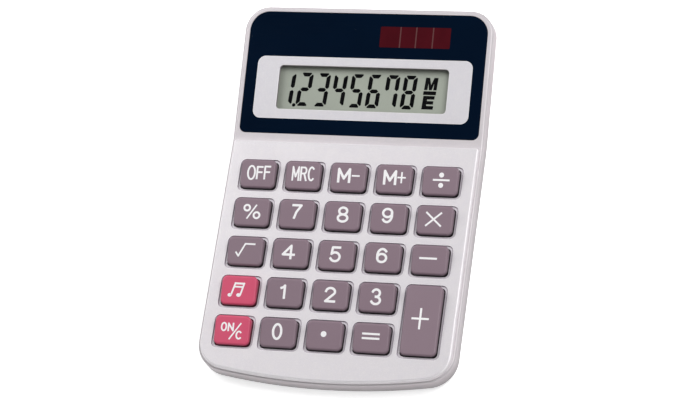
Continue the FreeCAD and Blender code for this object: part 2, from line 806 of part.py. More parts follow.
def build_key_mat():
    """Rubber key mat: one sheet with a hollow dome under each key."""
    body = new_body("key_mat")
    low = d.board_top
    drawing = Drawing(body, "Sheet", z=-low)
    drawing.rectangle(as_size(-43.2), as_size(43.2), as_size(-68), as_size(7.6), 3)
    for x, y in boss_places():
        drawing.circle(x, y, d.boss_diameter / 2 + 0.4)
    add_pad(body, "SheetPad", drawing.done(), d.mat_thickness)
    top = low - d.mat_thickness
    domes = Drawing(body, "Domes", z=-top)
    hollows = Drawing(body, "DomeHollows", z=-low)
    for _, column, row, rows in KEYS:
        x, y = key_centre(column, row, rows)
        domes.circle(x, y, d.dome_base / 2)
        hollows.circle(x, y, d.dome_base / 2 - 1.3)
    add_pad(body, "DomePads", domes.done(), top - d.stem_end - d.rest_gap, taper=-28)
    cut_pocket(body, "HollowDomes", hollows.done(), 1.3, reverse=True)
    deck.carry(body)


def build_circuit_board():
    """Circuit board under the key mat."""
    body = new_body("circuit_board")
    drawing = Drawing(body, "Outline", z=-(d.board_top + d.board_thickness))
    drawing.rectangle(as_size(-43), as_size(43), as_size(-68.2), as_size(12.4), 1.5)
    for x, y in boss_places():
        drawing.circle(x, y, d.board_screw_diameter / 2 + 0.3)
    add_pad(body, "Board", drawing.done(), d.board_thickness)
    deck.carry(body)


def build_chip():
    """Chip under a potted dome on the board's underside."""
    body = new_body("potted_chip")
    drawing = Drawing(body, "Foot", z=-(d.board_top + d.board_thickness))
    drawing.circle(-4, -24, 6.5)
    add_pad(body, "Dome", drawing.done(), 1.4, reverse=True, taper=-35)
    deck.carry(body)


def build_capacitor():
    """Small round capacitor that lies under the board."""
    body = new_body("capacitor")
    centre = d.board_top + d.board_thickness + 2.55
    drawing = Drawing(body, "End", "YZ_Plane")
    drawing.circle(2, -centre, 2.5)
    add_pad(body, "Can", drawing.done(), 7.5)
    round_edges(body, "CanEnds", as_size(0.5), lambda edge: True)
    deck.carry(body, x=18)


def head_body(name):
    """A body that lies in the head's frame, with Y along its slope."""
    body = new_body(name)
    head.carry(body)
    return body


def view_centre():
    """Middle of the display, along the head's slope."""
    return d.panel_offset + d.view_offset + d.view_length / 2


def solar_centre():
    """Middle of the solar strip, along the head's slope."""
    return d.panel_offset + d.solar_offset + d.solar_length / 2


def build_display_panel():
    """Navy panel with openings for the silver frame and the solar strip."""
    body = head_body("display_panel")
    drawing = Drawing(body, "Outline", z=-d.panel_thickness)
    side = d.panel_width / 2
    rear = d.panel_offset + d.panel_length
    corners = (d.panel_front_corner, d.panel_rear_corner)
    drawing.rectangle(-side, side, d.panel_offset, rear, *corners)
    side = d.bezel_width / 2
    front = d.panel_offset + d.bezel_offset
    drawing.rectangle(-side, side, front, front + d.bezel_length, d.bezel_corner)
    side = d.solar_width / 2
    reach = d.solar_length / 2
    left, right = d.solar_x - side, d.solar_x + side
    drawing.rectangle(left, right, solar_centre() - reach, solar_centre() + reach, 0.6)
    add_pad(body, "Panel", drawing.done(), d.panel_thickness)

    def outer_top(edge):
        box = edge.BoundBox
        side_or_corner = max(abs(box.XMin), abs(box.XMax)) > d.bezel_width.value / 2 + 1
        return on_level(edge, 0) and side_or_corner

    round_edges(body, "OuterEdge", as_size(0.2), outer_top)


def build_display_bezel():
    """Silver frame round the display."""
    body = head_body("display_bezel")
    drawing = Drawing(body, "Outline", z=-d.panel_thickness)
    side = d.bezel_width / 2 - d.rest_gap
    front = d.panel_offset + d.bezel_offset + d.rest_gap
    rear = front + d.bezel_length - d.rest_gap * 2
    drawing.rectangle(-side, side, front, rear, d.bezel_corner)
    side = d.view_width / 2
    reach = d.view_length / 2
    centre = view_centre()
    drawing.rectangle(-side, side, centre - reach, centre + reach, d.view_corner)
    add_pad(body, "Frame", drawing.done(), d.panel_thickness)

    def view_top(edge):
        box = edge.BoundBox
        return on_level(edge, 0) and max(abs(box.XMin), abs(box.XMax)) < side.value + 1

    round_edges(body, "ViewEdge", as_size(0.25), view_top)


def build_display_window():
    """Clear window that is glued under the silver frame."""
    body = head_body("display_window")
    low = d.panel_thickness + d.window_thickness
    drawing = Drawing(body, "Outline", z=-low)
    side = d.window_width / 2
    reach = d.window_length / 2
    drawing.rectangle(-side, side, view_centre() - reach, view_centre() + reach, 0.8)
    add_pad(body, "Window", drawing.done(), d.window_thickness)


def build_display_glass():
    """Display glass: a shorter upper sheet on a lower one with a contact ledge."""
    body = head_body("display_glass")
    top = d.head_roof + d.rest_gap
    side = d.window_width / 2
    front = view_centre() - d.glass_length / 2
    rear = front + d.glass_length
    drawing = Drawing(body, "LowerSheet", z=-(top + d.glass_ply * 2))
    drawing.rectangle(-side, side, front, rear, 0.2)
    add_pad(body, "Lower", drawing.done(), d.glass_ply)
    drawing = Drawing(body, "UpperSheet", z=-(top + d.glass_ply))
    drawing.rectangle(-side, side, front + 2.6, rear, 0.2)
    add_pad(body, "Upper", drawing.done(), d.glass_ply)


def build_solar():
    """Maroon window of the solar strip and the solar cell behind it."""
    side = d.solar_width / 2 - d.rest_gap
    reach = d.solar_length / 2 - d.rest_gap
    window = head_body("solar_window")
    drawing = Drawing(window, "Outline", z=-d.panel_thickness)
    left, right = d.solar_x - side, d.solar_x + side
    drawing.rectangle(left, right, solar_centre() - reach, solar_centre() + reach, 0.5)
    add_pad(window, "Window", drawing.done(), d.panel_thickness)
    cell = head_body("solar_cell")
    top = d.panel_thickness + d.rest_gap
    drawing = Drawing(cell, "Outline", z=-(top + d.cell_thickness))
    side = d.cell_width / 2
    reach = d.cell_length / 2
    left, right = d.solar_x - side, d.solar_x + side
    drawing.rectangle(left, right, solar_centre() - reach, solar_centre() + reach, 0.3)
    add_pad(cell, "Cell", drawing.done(), d.cell_thickness)


def build_display_ribbon():
    """Flat ribbon from the board's rear edge to the ledge of the display glass."""
    body = new_body("display_ribbon")
    thickness = 0.2
    board = d.board_top - d.rest_gap
    glass = d.head_roof + d.glass_ply * 2 + d.rest_gap * 2
    first = view_centre() - d.glass_length / 2
    drawing = Drawing(body, "SideView", "YZ_Plane")
    drawing.polygon(
        deck.at(as_size(9), -board),
        deck.at(as_size(12.2), -board),
        head.at(first - 0.6, -glass - thickness),
        head.at(first + 2.8, -glass - thickness),
        head.at(first + 2.8, -glass),
        head.at(first - 0.7, -glass),
        deck.at(as_size(12.1), thickness - board),
        deck.at(as_size(9), thickness - board),
    )
    add_pad(body, "Ribbon", drawing.done(), 52, symmetric=True)


def band_foot(y):
    """Height of the side band's lower edge in the object, under the keypad or the head."""
    low = -(d.deck_rise + d.band_height)
    if y.value < hull_bend()[0].value + 1e-6:
        y_zero, z_zero = deck.at(as_size(0), low)
        return z_zero + (y - y_zero) * tangent(deck.tilt)
    y_zero, z_zero = head.at(as_size(0), -d.band_height)
    return z_zero + (y - y_zero) * tangent(head.tilt)


def hull_bend():
    """Where the side band's lower edge bends."""
    ahead = d.bend_y + d.band_height * tangent(d.head_tilt / 2)
    return deck.at(ahead, -(d.deck_rise + d.band_height))


def rear_slope(inset=0):
    """Two points of the lower case's sloping rear face, high and low, drawn in by an inset."""
    inset = as_size(inset)
    y_high, z_high = head.at(d.head_length - d.hull_setback, -d.band_height)
    y_high = y_high - inset / cosine(d.hull_draft)
    drop = z_high - d.hull_floor
    return (y_high, z_high), (y_high - drop * tangent(d.hull_draft), d.hull_floor)


def trim_rear_slope(body, name, inset=0):
    """Cut everything behind the sloping rear face."""
    (y_high, z_high), (y_low, z_low) = rear_slope(inset)
    slope = tangent(d.hull_draft)
    drawing = Drawing(body, f"{name}View", "YZ_Plane")
    drawing.polygon(
        (y_low - 10 * slope, z_low - 10),
        (REACH, z_low - 10),
        (REACH, z_high + 10),
        (y_high + 10 * slope, z_high + 10),
    )
    cut_pocket(body, name, drawing.done(), REACH, symmetric=True)


def shape_hull(body, inset, rise):
    """The lower case's tapered block, drawn in by an inset and with its top raised."""
    inset = as_size(inset)
    top_half = d.case_width / 2 - d.hull_setback
    low = d.hull_floor + inset
    sections = []
    for number, y in enumerate((as_size(-80), hull_bend()[0], as_size(80))):
        edge = band_foot(y) - d.seam
        side = top_half - inset / cosine(d.hull_draft)
        low_half = side - (edge - low) * tangent(d.hull_draft)
        high_half = side + rise * tangent(d.hull_draft)
        top = edge + rise
        drawing = Drawing(body, f"Section{number}", "XZ_Plane", z=-y)
        drawing.polygon((-low_half, low), (low_half, low), (high_half, top), (-high_half, top))
        sections.append(drawing.done())
    doc.recompute()
    loft = body.newObject("PartDesign::AdditiveLoft", f"{body.Name}_Hull")
    loft.Profile = sections[0]
    loft.Sections = sections[1:]
    loft.Ruled = True
    doc.recompute()
    drawing = Drawing(body, "FrontTrim")
    drawing.polygon((-REACH, -REACH), (REACH, -REACH), (REACH, REACH), (-REACH, REACH))
    edge_y = deck.at(-d.case_front, -(d.deck_rise + d.band_height))[0] + d.hull_setback
    corner = d.case_front_corner - d.hull_setback - inset
    half = top_half - inset
    drawing.bowed(half, as_size(REACH / 2), edge_y + inset, d.bow_radius - inset, corner)
    cut_pocket(body, "TrimFront", drawing.done(), REACH, symmetric=True)
    trim_rear_slope(body, "TrimRear", inset)

    def rear_corner(edge):
        box = edge.BoundBox
        at_rear = box.YMin > rear_slope(inset)[1][0].value - 1
        return at_rear and 1 < box.XLength < 20 and box.ZLength > 10

    round_edges(body, "RearCorners", d.hull_rear_corner - inset, rear_corner)


def build_lower_case():
    """Lower case: a tapered pan with screw towers and the battery bay."""
    body = new_body("lower_case")
    shape_hull(body, 0, 0)
    hollow = doc.addObject("PartDesign::Body", "LowerCaseHollow")
    shape_hull(hollow, d.hull_wall, 4)
    before = body.Shape.Volume
    cut = body.newObject("PartDesign::Boolean", "LowerCase_CutHollow")
    cut.setObjects([hollow])
    cut.Type = "Cut"
    body.Tip = cut
    doc.recompute()
    if not 0.1 < body.Shape.Volume / before < 0.5:
        raise RuntimeError("the lower case is not hollow")

    floor = d.hull_floor + d.hull_wall
    drawing = Drawing(body, "Bay", "YZ_Plane")
    wall = d.bay_wall
    front, rear = d.bay_front - wall, d.bay_rear + wall
    drawing.rectangle(front, rear, floor - 0.3, d.bay_height + wall, 0.1, d.bay_round + wall)
    add_pad(body, "BayBlock", drawing.done(), d.bay_width + wall * 2, symmetric=True)
    drawing = Drawing(body, "BayHollow", "YZ_Plane")
    drawing.rectangle(d.bay_front, d.bay_rear, floor, d.bay_height, 0.1, d.bay_round)
    cut_pocket(body, "HollowBay", drawing.done(), d.bay_width, symmetric=True)
    drawing = Drawing(body, "CoverWay", "XZ_Plane", z=-d.bay_front)
    side = d.cover_width / 2 + 0.1
    tongue = d.tongue_width / 2 + 0.1
    top = floor + d.tongue_thickness + 0.1
    right = ((side, d.hull_floor - 1), (side, floor), (tongue, floor), (tongue, top))
    drawing.polygon(*right, *((-x, z) for x, z in reversed(right)))
    cut_pocket(body, "CutCoverWay", drawing.done(), d.bay_rear - d.bay_front + 30)
    for hand in SIDES:
        drawing = Drawing(body, f"Tail{'Left' if hand < 0 else 'Right'}", z=tail_height() - 0.8)
        x = hand * (d.bay_width / 2 - 0.45)
        drawing.rectangle(x - 0.4, x + 0.4, d.bay_front - 2, d.bay_front + 0.5, 0.1)
        cut_pocket(body, f"TailCut{'Left' if hand < 0 else 'Right'}", drawing.done(), 1.6, reverse=True)

    towers = (
        ("Front", d.front_post_x, -d.front_post_y, front_seat()),
        ("Rear", d.foot_x, d.rear_post_y, rear_seat()),
    )
    for name, x, y, seat_height in towers:
        for label, radius, low, high, cut in (
            ("Tower", d.post_diameter / 2 + 0.2, floor - 0.3, seat_height, False),
            ("Counterbore", as_size(2.2), d.hull_floor - 1, seat_height - 1.2, True),
            ("ScrewHole", d.case_screw_diameter / 2 + 0.2, floor - 2, seat_height + 1, True),
        ):
            drawing = Drawing(body, f"{name}{label}", z=low)
            for hand in SIDES:
                drawing.circle(hand * x, y, radius)
            if cut:
                cut_pocket(body, f"{name}{label}Cut", drawing.done(), high - low, reverse=True)
            else:
                add_pad(body, f"{name}{label}Pad", drawing.done(), high - low)

    drawing = Drawing(body, "FootRecesses", z=d.hull_floor)
    for x, y in foot_places().values():
        drawing.circle(x, y, d.foot_diameter / 2 + 0.1)
    cut_pocket(body, "RecessFeet", drawing.done(), d.foot_recess, reverse=True)
    drawing = Drawing(body, "SounderRing", z=floor - 0.2)
    drawing.circle(d.sounder_x, d.sounder_y, d.sounder_diameter / 2 + 1.2)
    drawing.circle(d.sounder_x, d.sounder_y, d.sounder_diameter / 2 + 0.15)
    add_pad(body, "RingPad", drawing.done(), 1.2)


def foot_places():
    """Name and place of the four feet."""
    return {
        "foot_front_left": (-d.foot_x, -d.front_foot_y),
        "foot_front_right": (d.foot_x, -d.front_foot_y),
        "foot_rear_left": (-d.foot_x, d.rear_foot_y),
        "foot_rear_right": (d.foot_x, d.rear_foot_y),
    }


def build_feet():
    """Rubber feet, let into the floor."""
    for name, (x, y) in foot_places().items():
        body = new_body(name)
        drawing = Drawing(body, "Disc")
        drawing.circle(0, 0, d.foot_diameter / 2)
        add_pad(body, "Foot", drawing.done(), d.hull_floor + d.foot_recess)
        round_edges(body, "Edge", as_size(0.35), lambda edge: on_level(edge, 0))
        seat(body, "Placement", x, y)


def build_battery_cover():
    """Battery cover: slides out rearwards, with an inner tongue and finger grooves."""
    body = new_body("battery_cover")
    floor = d.hull_floor + d.cover_thickness
    front = d.bay_front + 0.2
    for name, width, low, height in (
        ("Plate", d.cover_width, d.hull_floor, d.cover_thickness),
        ("Tongue", d.tongue_width, floor, d.tongue_thickness),
    ):
        drawing = Drawing(body, name, z=low)
        drawing.rectangle(-width / 2, width / 2, front, front + 30, 0.3)
        add_pad(body, f"{name}Pad", drawing.done(), height)
    trim_rear_slope(body, "TrimRear")
    drawing = Drawing(body, "Grooves", z=d.hull_floor)
    for number in range(5):
        y = front + 2.4 + number * 1.6
        drawing.rectangle(as_size(-7), as_size(7), y - 0.35, y + 0.35, 0.3)
    cut_pocket(body, "CutGrooves", drawing.done(), 0.4, reverse=True)


def build_battery():
    """AA battery: can and nub."""
    body = new_body("battery")
    radius = d.battery_diameter / 2
    drawing = Drawing(body, "Can", "YZ_Plane")
    drawing.circle(0, 0, radius)
    add_pad(body, "CanPad", drawing.done(), d.battery_length, symmetric=True)
    round_edges(body, "CanEnds", as_size(0.5), lambda edge: True)
    drawing = Drawing(body, "Nub", "YZ_Plane", z=d.battery_length / 2 - 0.5)
    drawing.circle(0, 0, 2.7)
    add_pad(body, "NubPad", drawing.done(), 1.6)
    seat(body, "Placement", d.battery_x, d.battery_y, d.battery_z)


def tail_height():
    """Height of the contacts' tails."""
    return d.battery_z + 1.75


def build_contacts():
    """Leaf contacts at the two ends of the battery, with tails out of the bay."""
    can = d.battery_length / 2
    wall = d.bay_width / 2 - 0.1
    ends = (
        ("contact_plus", 1, d.battery_x + can + 1.1 + d.rest_gap),
        ("contact_minus", -1, can - d.battery_x + d.rest_gap),
    )
    for name, hand, tip in ends:
        body = new_body(name)
        strip = 0.3
        drawing = Drawing(body, "Leaf", "XZ_Plane", z=-(d.battery_y + 3))
        middle_z = d.battery_z
        top = d.bay_height - 0.9
        back = wall - strip
        points = (
            (wall, top),
            (wall, middle_z - 5.5),
            (back, middle_z - 5.5),
            (tip, middle_z - 1),
            (tip, middle_z + 1),
            (back - strip, middle_z + 5),
            (back - strip, middle_z + 4),
            (tip + strip, middle_z + 0.9),
            (tip + strip, middle_z - 0.9),
            (back, middle_z - 4.5),
            (back, top),
        )
        drawing.polygon(*((hand * x, z) for x, z in points))
        add_pad(body, "LeafPad", drawing.done(), 6)
        drawing = Drawing(body, "Tail", "XZ_Plane", z=-(d.battery_y - 2))
        low, high = tail_height() - 0.6, tail_height() + 0.6
        drawing.polygon(*((hand * x, z) for x, z in ((wall, high), (wall, low), (back, low), (back, high))))
        add_pad(body, "TailPad", drawing.done(), d.battery_y - d.bay_front)


def build_sounder():
    """Sounder: thin brass disc with its ceramic layer."""
    body = new_body("sounder")
    drawing = Drawing(body, "Disc")
    drawing.circle(0, 0, d.sounder_diameter / 2)
    add_pad(body, "DiscPad", drawing.done(), 0.3)
    drawing = Drawing(body, "Ceramic", z=as_size(0.3))
    drawing.circle(0, 0, 7)
    add_pad(body, "CeramicPad", drawing.done(), 0.2)
    floor = d.hull_floor + d.hull_wall
    seat(body, "Placement", d.sounder_x, d.sounder_y, floor + d.rest_gap)


def build_screw(label, head_radius, head_height, shank_radius, length):
    """A pan-head screw, head down, its seat at the origin and its shank up."""
    body = doc.addObject("PartDesign::Body", label)
    drawing = Drawing(body, "Head", z=-head_height)
    drawing.circle(0, 0, head_radius)
    add_pad(body, "HeadPad", drawing.done(), head_height)
    low = -head_height.value
    round_edges(body, "HeadRound", as_size(0.35), lambda edge: on_level(edge, low))
    drawing = Drawing(body, "Shank")
    drawing.circle(0, 0, shank_radius)
    add_pad(body, "ShankPad", drawing.done(), length)
    for axis, (wide, deep) in {"Slot": (1.0, 0.22), "CrossSlot": (0.22, 1.0)}.items():
        drawing = Drawing(body, axis, z=-head_height)
        drawing.polygon((-wide, -deep), (wide, -deep), (wide, deep), (-wide, deep))
        cut_pocket(body, f"{axis}Cut", drawing.done(), 0.7, reverse=True)
    return body


def group_screws(name, screws):
    """One node that holds a set of like screws."""
    group = doc.addObject("Part::Compound", name.title().replace("_", ""))
    group.Label = name
    group.Links = screws
    nodes.append(group)


def build_screws():
    """Case screws and board screws."""
    head = as_size(1.3)
    screws = []
    for name, x, y, seat_height in (
        ("Front", d.front_post_x, -d.front_post_y, front_seat()),
        ("Rear", d.foot_x, d.rear_post_y, rear_seat()),
    ):
        for hand in SIDES:
            label = f"CaseScrew{name}{'Left' if hand < 0 else 'Right'}"
            radius = d.case_screw_diameter / 2
            screw = build_screw(label, as_size(1.95), head, radius, d.case_screw_length)
            seat(screw, "Placement", hand * x, y, seat_height - 1.2 - d.rest_gap)
            screws.append(screw)
    group_screws("case_screws", screws)
    screws = []
    for number, (x, y) in enumerate(boss_places()):
        radius = d.board_screw_diameter / 2
        screw = build_screw(f"BoardScrew{number}", as_size(1.8), head, radius, d.board_screw_length)
        deck.carry(screw, x, y, -(d.board_top + d.board_thickness + d.rest_gap))
        screws.append(screw)
    group_screws("board_screws", screws)


def bent_tube(points, diameter):
    """A tube along straight runs joined by tangent arcs, and its expected volume."""
    points = [Vector(*point) for point in points]
    last = points[0]
    edges = []
    for before, corner, after in zip(points, points[1:], points[2:]):
        inward = (before - corner).normalize()
        outward = (after - corner).normalize()
        turn = math.pi - inward.getAngle(outward)
        cut = 0.45 * min((before - corner).Length, (after - corner).Length)
        start = corner + inward * cut
        end = corner + outward * cut
        radius = cut / math.tan(turn / 2)
        bisector = (inward + outward).normalize()
        centre = corner + bisector * (radius / math.cos(turn / 2))
        mid = centre - bisector * radius
        edges.append(Part.LineSegment(last, start).toShape())
        edges.append(Part.Arc(start, mid, end).toShape())
        last = end
    edges.append(Part.LineSegment(last, points[-1]).toShape())
    path = Part.Wire(edges)
    direction = (points[1] - points[0]).normalize()
    ring = Part.Wire(Part.makeCircle(diameter / 2, points[0], direction))
    tube = path.makePipeShell([ring], True, False)
    expected = math.pi * diameter ** 2 / 4 * path.Length
    if abs(tube.Volume / expected - 1) > 0.01:
        raise RuntimeError("a wire's volume is wrong")
    return tube


def build_wire(name, points):
    """One insulated wire along its route."""
    node = doc.addObject("Part::Feature", name.title().replace("_", ""))
    node.Label = name
    node.Shape = bent_tube(points, float(sheet.wire_diameter))
    nodes.append(node)


def board_point(x, y, below=0):
    """A soldering point just under the board, or a point further below it."""
    depth = d.board_top + d.board_thickness + d.rest_gap + below
    y_out, z_out = deck.at(as_size(y), -depth)
    return x, y_out.value, z_out.value


def head_point(x, y, depth):
    """A point under the head's face."""
    y_out, z_out = head.at(as_size(y), as_size(-depth))
    return x, y_out.value, z_out.value


def build_wires():
    """Wires from the battery, the solar cell and the sounder to the board."""
    tail_x = d.bay_width.value / 2 - 0.25
    tail_y = d.bay_front.value - 2.15
    tail_z = tail_height().value
    for name, hand, end_x in (("battery_wire_plus", 1, 27), ("battery_wire_minus", -1, -38)):
        build_wire(
            name,
            (
                (hand * tail_x, tail_y, tail_z),
                (hand * tail_x, tail_y - 7, tail_z - 1.8),
                (hand * 31.5, tail_y - 15, 8.4),
                (end_x - hand * 1.5, 22.5, 6.6),
                board_point(end_x, 9.5, 3.5),
                board_point(end_x, 9.5),
            ),
        )
    cell = d.panel_thickness.value + d.cell_thickness.value + 0.15
    strip = solar_centre().value + 2
    for name, cell_x, behind, side in (
        ("solar_wire_plus", 30, 35.4, 41.6),
        ("solar_wire_minus", 26.5, 33.9, 39.6),
    ):
        build_wire(
            name,
            (
                head_point(cell_x, strip, cell),
                head_point(cell_x, strip, 4.8),
                head_point(cell_x + 3.5, behind, 4.8),
                head_point(side, behind, 4.8),
                head_point(side, 14, 5.2),
                (side, 24, 9),
                board_point(side - 0.6, 9.8, 2.8),
                board_point(side - 0.6, 9.8),
            ),
        )
    x, y = d.sounder_x.value, d.sounder_y.value
    floor = d.hull_floor.value + d.hull_wall.value
    for name, shift in (("sounder_wire_plus", -4), ("sounder_wire_minus", 4)):
        build_wire(
            name,
            (
                (x + shift, y - 2, floor + 0.6),
                (x + shift, y - 2, floor + 3),
                (x + shift, y - 9, floor + 3.6),
                board_point(x + shift, 9.8, 2.8),
                board_point(x + shift, 9.8),
            ),
        )


def check_and_write():
    """Check every object and every sub-part, then write one file for each sub-part."""
    doc.recompute()
    for item in doc.Objects:
        faults = [state for state in item.State if state in ("Invalid", "Error")]
        if faults:
            raise RuntimeError(f"{item.Name} is {faults}")
    for node in nodes:
        shape = node.Shape
        if shape.isNull() or not shape.isValid():
            raise RuntimeError(f"{node.Label} has no valid shape")
    os.makedirs("parts", exist_ok=True)
    whole = FreeCAD.BoundBox()
    for node in nodes:
        node.Shape.exportStep(f"parts/{node.Label}.step")
        whole.add(node.Shape.optimalBoundingBox())
    print(f"{len(nodes)} parts, {whole}")


fill_sheet()
d = Dimensions()
deck = Frame(d.origin_y, d.origin_z, d.deck_tilt)
head = Frame(*deck.at(d.bend_y, -d.deck_rise), d.deck_tilt + d.head_tilt)
build_upper_case()
build_keypad_plate()
for key in KEYS:
    build_key(*key)
build_key_mat()
build_circuit_board()
build_chip()
build_capacitor()
build_display_panel()
build_display_bezel()
build_display_window()
build_display_glass()
build_solar()
build_display_ribbon()
build_lower_case()
build_feet()
build_battery_cover()
build_battery()
build_contacts()
build_sounder()
build_screws()
build_wires()
check_and_write()
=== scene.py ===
"""Looks of a small desk calculator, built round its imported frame.

The frame brings the case, the keys and everything inside. This script gives every piece its finish,
prints the legends on the keys, lays the dark segments on the display glass, and puts a soft dome
under each key.
"""

import json
import logging
import math
from dataclasses import dataclass
from enum import Enum

import bmesh
import bpy
from mathutils import Matrix, Vector


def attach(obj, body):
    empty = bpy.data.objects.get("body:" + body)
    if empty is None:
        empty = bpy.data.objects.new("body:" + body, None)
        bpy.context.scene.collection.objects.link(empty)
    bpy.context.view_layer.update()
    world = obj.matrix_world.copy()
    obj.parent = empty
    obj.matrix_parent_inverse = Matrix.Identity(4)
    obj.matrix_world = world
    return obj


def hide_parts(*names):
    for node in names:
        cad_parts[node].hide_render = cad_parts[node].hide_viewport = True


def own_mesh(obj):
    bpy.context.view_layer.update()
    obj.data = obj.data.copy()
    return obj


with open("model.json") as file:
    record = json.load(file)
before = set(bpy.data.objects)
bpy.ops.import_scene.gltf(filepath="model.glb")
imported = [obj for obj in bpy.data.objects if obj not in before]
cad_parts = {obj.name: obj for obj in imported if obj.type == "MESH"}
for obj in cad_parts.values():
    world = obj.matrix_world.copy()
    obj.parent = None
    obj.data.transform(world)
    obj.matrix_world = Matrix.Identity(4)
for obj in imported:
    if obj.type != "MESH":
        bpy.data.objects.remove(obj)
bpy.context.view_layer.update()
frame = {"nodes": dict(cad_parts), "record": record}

LOG = logging.getLogger("calculator")
MM = 0.001
Color = tuple[float, float, float]
Point = tuple[float, float]
Stroke = list[Point]
Socket = bpy.types.NodeSocket
Shape = bmesh.types.BMesh


@dataclass(frozen=True)
class Plane:
    """A tilted face of the calculator, with its own x, y and height in millimetres.

    Args:
        y: Place of the origin along the calculator, in millimetres.
        z: Height of the origin above the desk, in millimetres.
        tilt: Slope towards the reader, in degrees.
    """

    y: float
    z: float
    tilt: float

    def matrix(self) -> Matrix:
        """Returns the plane's place, in metres."""
        turn = Matrix.Rotation(math.radians(self.tilt), 4, "X")
        return Matrix.Translation((0, self.y * MM, self.z * MM)) @ turn

    def normal(self) -> Vector:
        """Returns the direction that stands up from the plane."""
        return self.matrix().to_3x3() @ Vector((0, 0, 1))

    def point(self, x: float, y: float, z: float) -> Vector:
        """Returns a point given in millimetres on the plane, in metres in the frame."""
        return self.matrix() @ Vector((x * MM, y * MM, z * MM))


DECK = Plane(5.6475, 17.1, 5.0)
HEAD = Plane(21.345, 16.667, 14.5)


class Nodes:
    """The nodes of a material or of the world."""

    def __init__(self, tree: bpy.types.NodeTree) -> None:
        """Starts with an empty tree."""
        self.tree = tree
        self.tree.nodes.clear()

    def join(self, start: Socket, end: Socket) -> None:
        """Links two sockets."""
        self.tree.links.new(start, end)

    def feed(self, value: object, end: Socket) -> None:
        """Sends a value to an input.

        Args:
            value: A socket to link, or a number, direction or colour to set.
            end: The input.
        """
        if isinstance(value, Socket):
            self.join(value, end)
        else:
            end.default_value = (*value, 1) if end.type == "RGBA" else value

    def add(self, kind: str, inputs: dict | None = None, **settings: object) -> bpy.types.Node:
        """Adds a node.

        Args:
            kind: The node's type.
            inputs: What goes into its inputs, by their name or place.
            **settings: Attributes to set on it.

        Returns:
            The new node.
        """
        node = self.tree.nodes.new(kind)
        for key, value in settings.items():
            setattr(node, key, value)
        for key, value in (inputs or {}).items():
            self.feed(value, node.inputs[key])
        return node


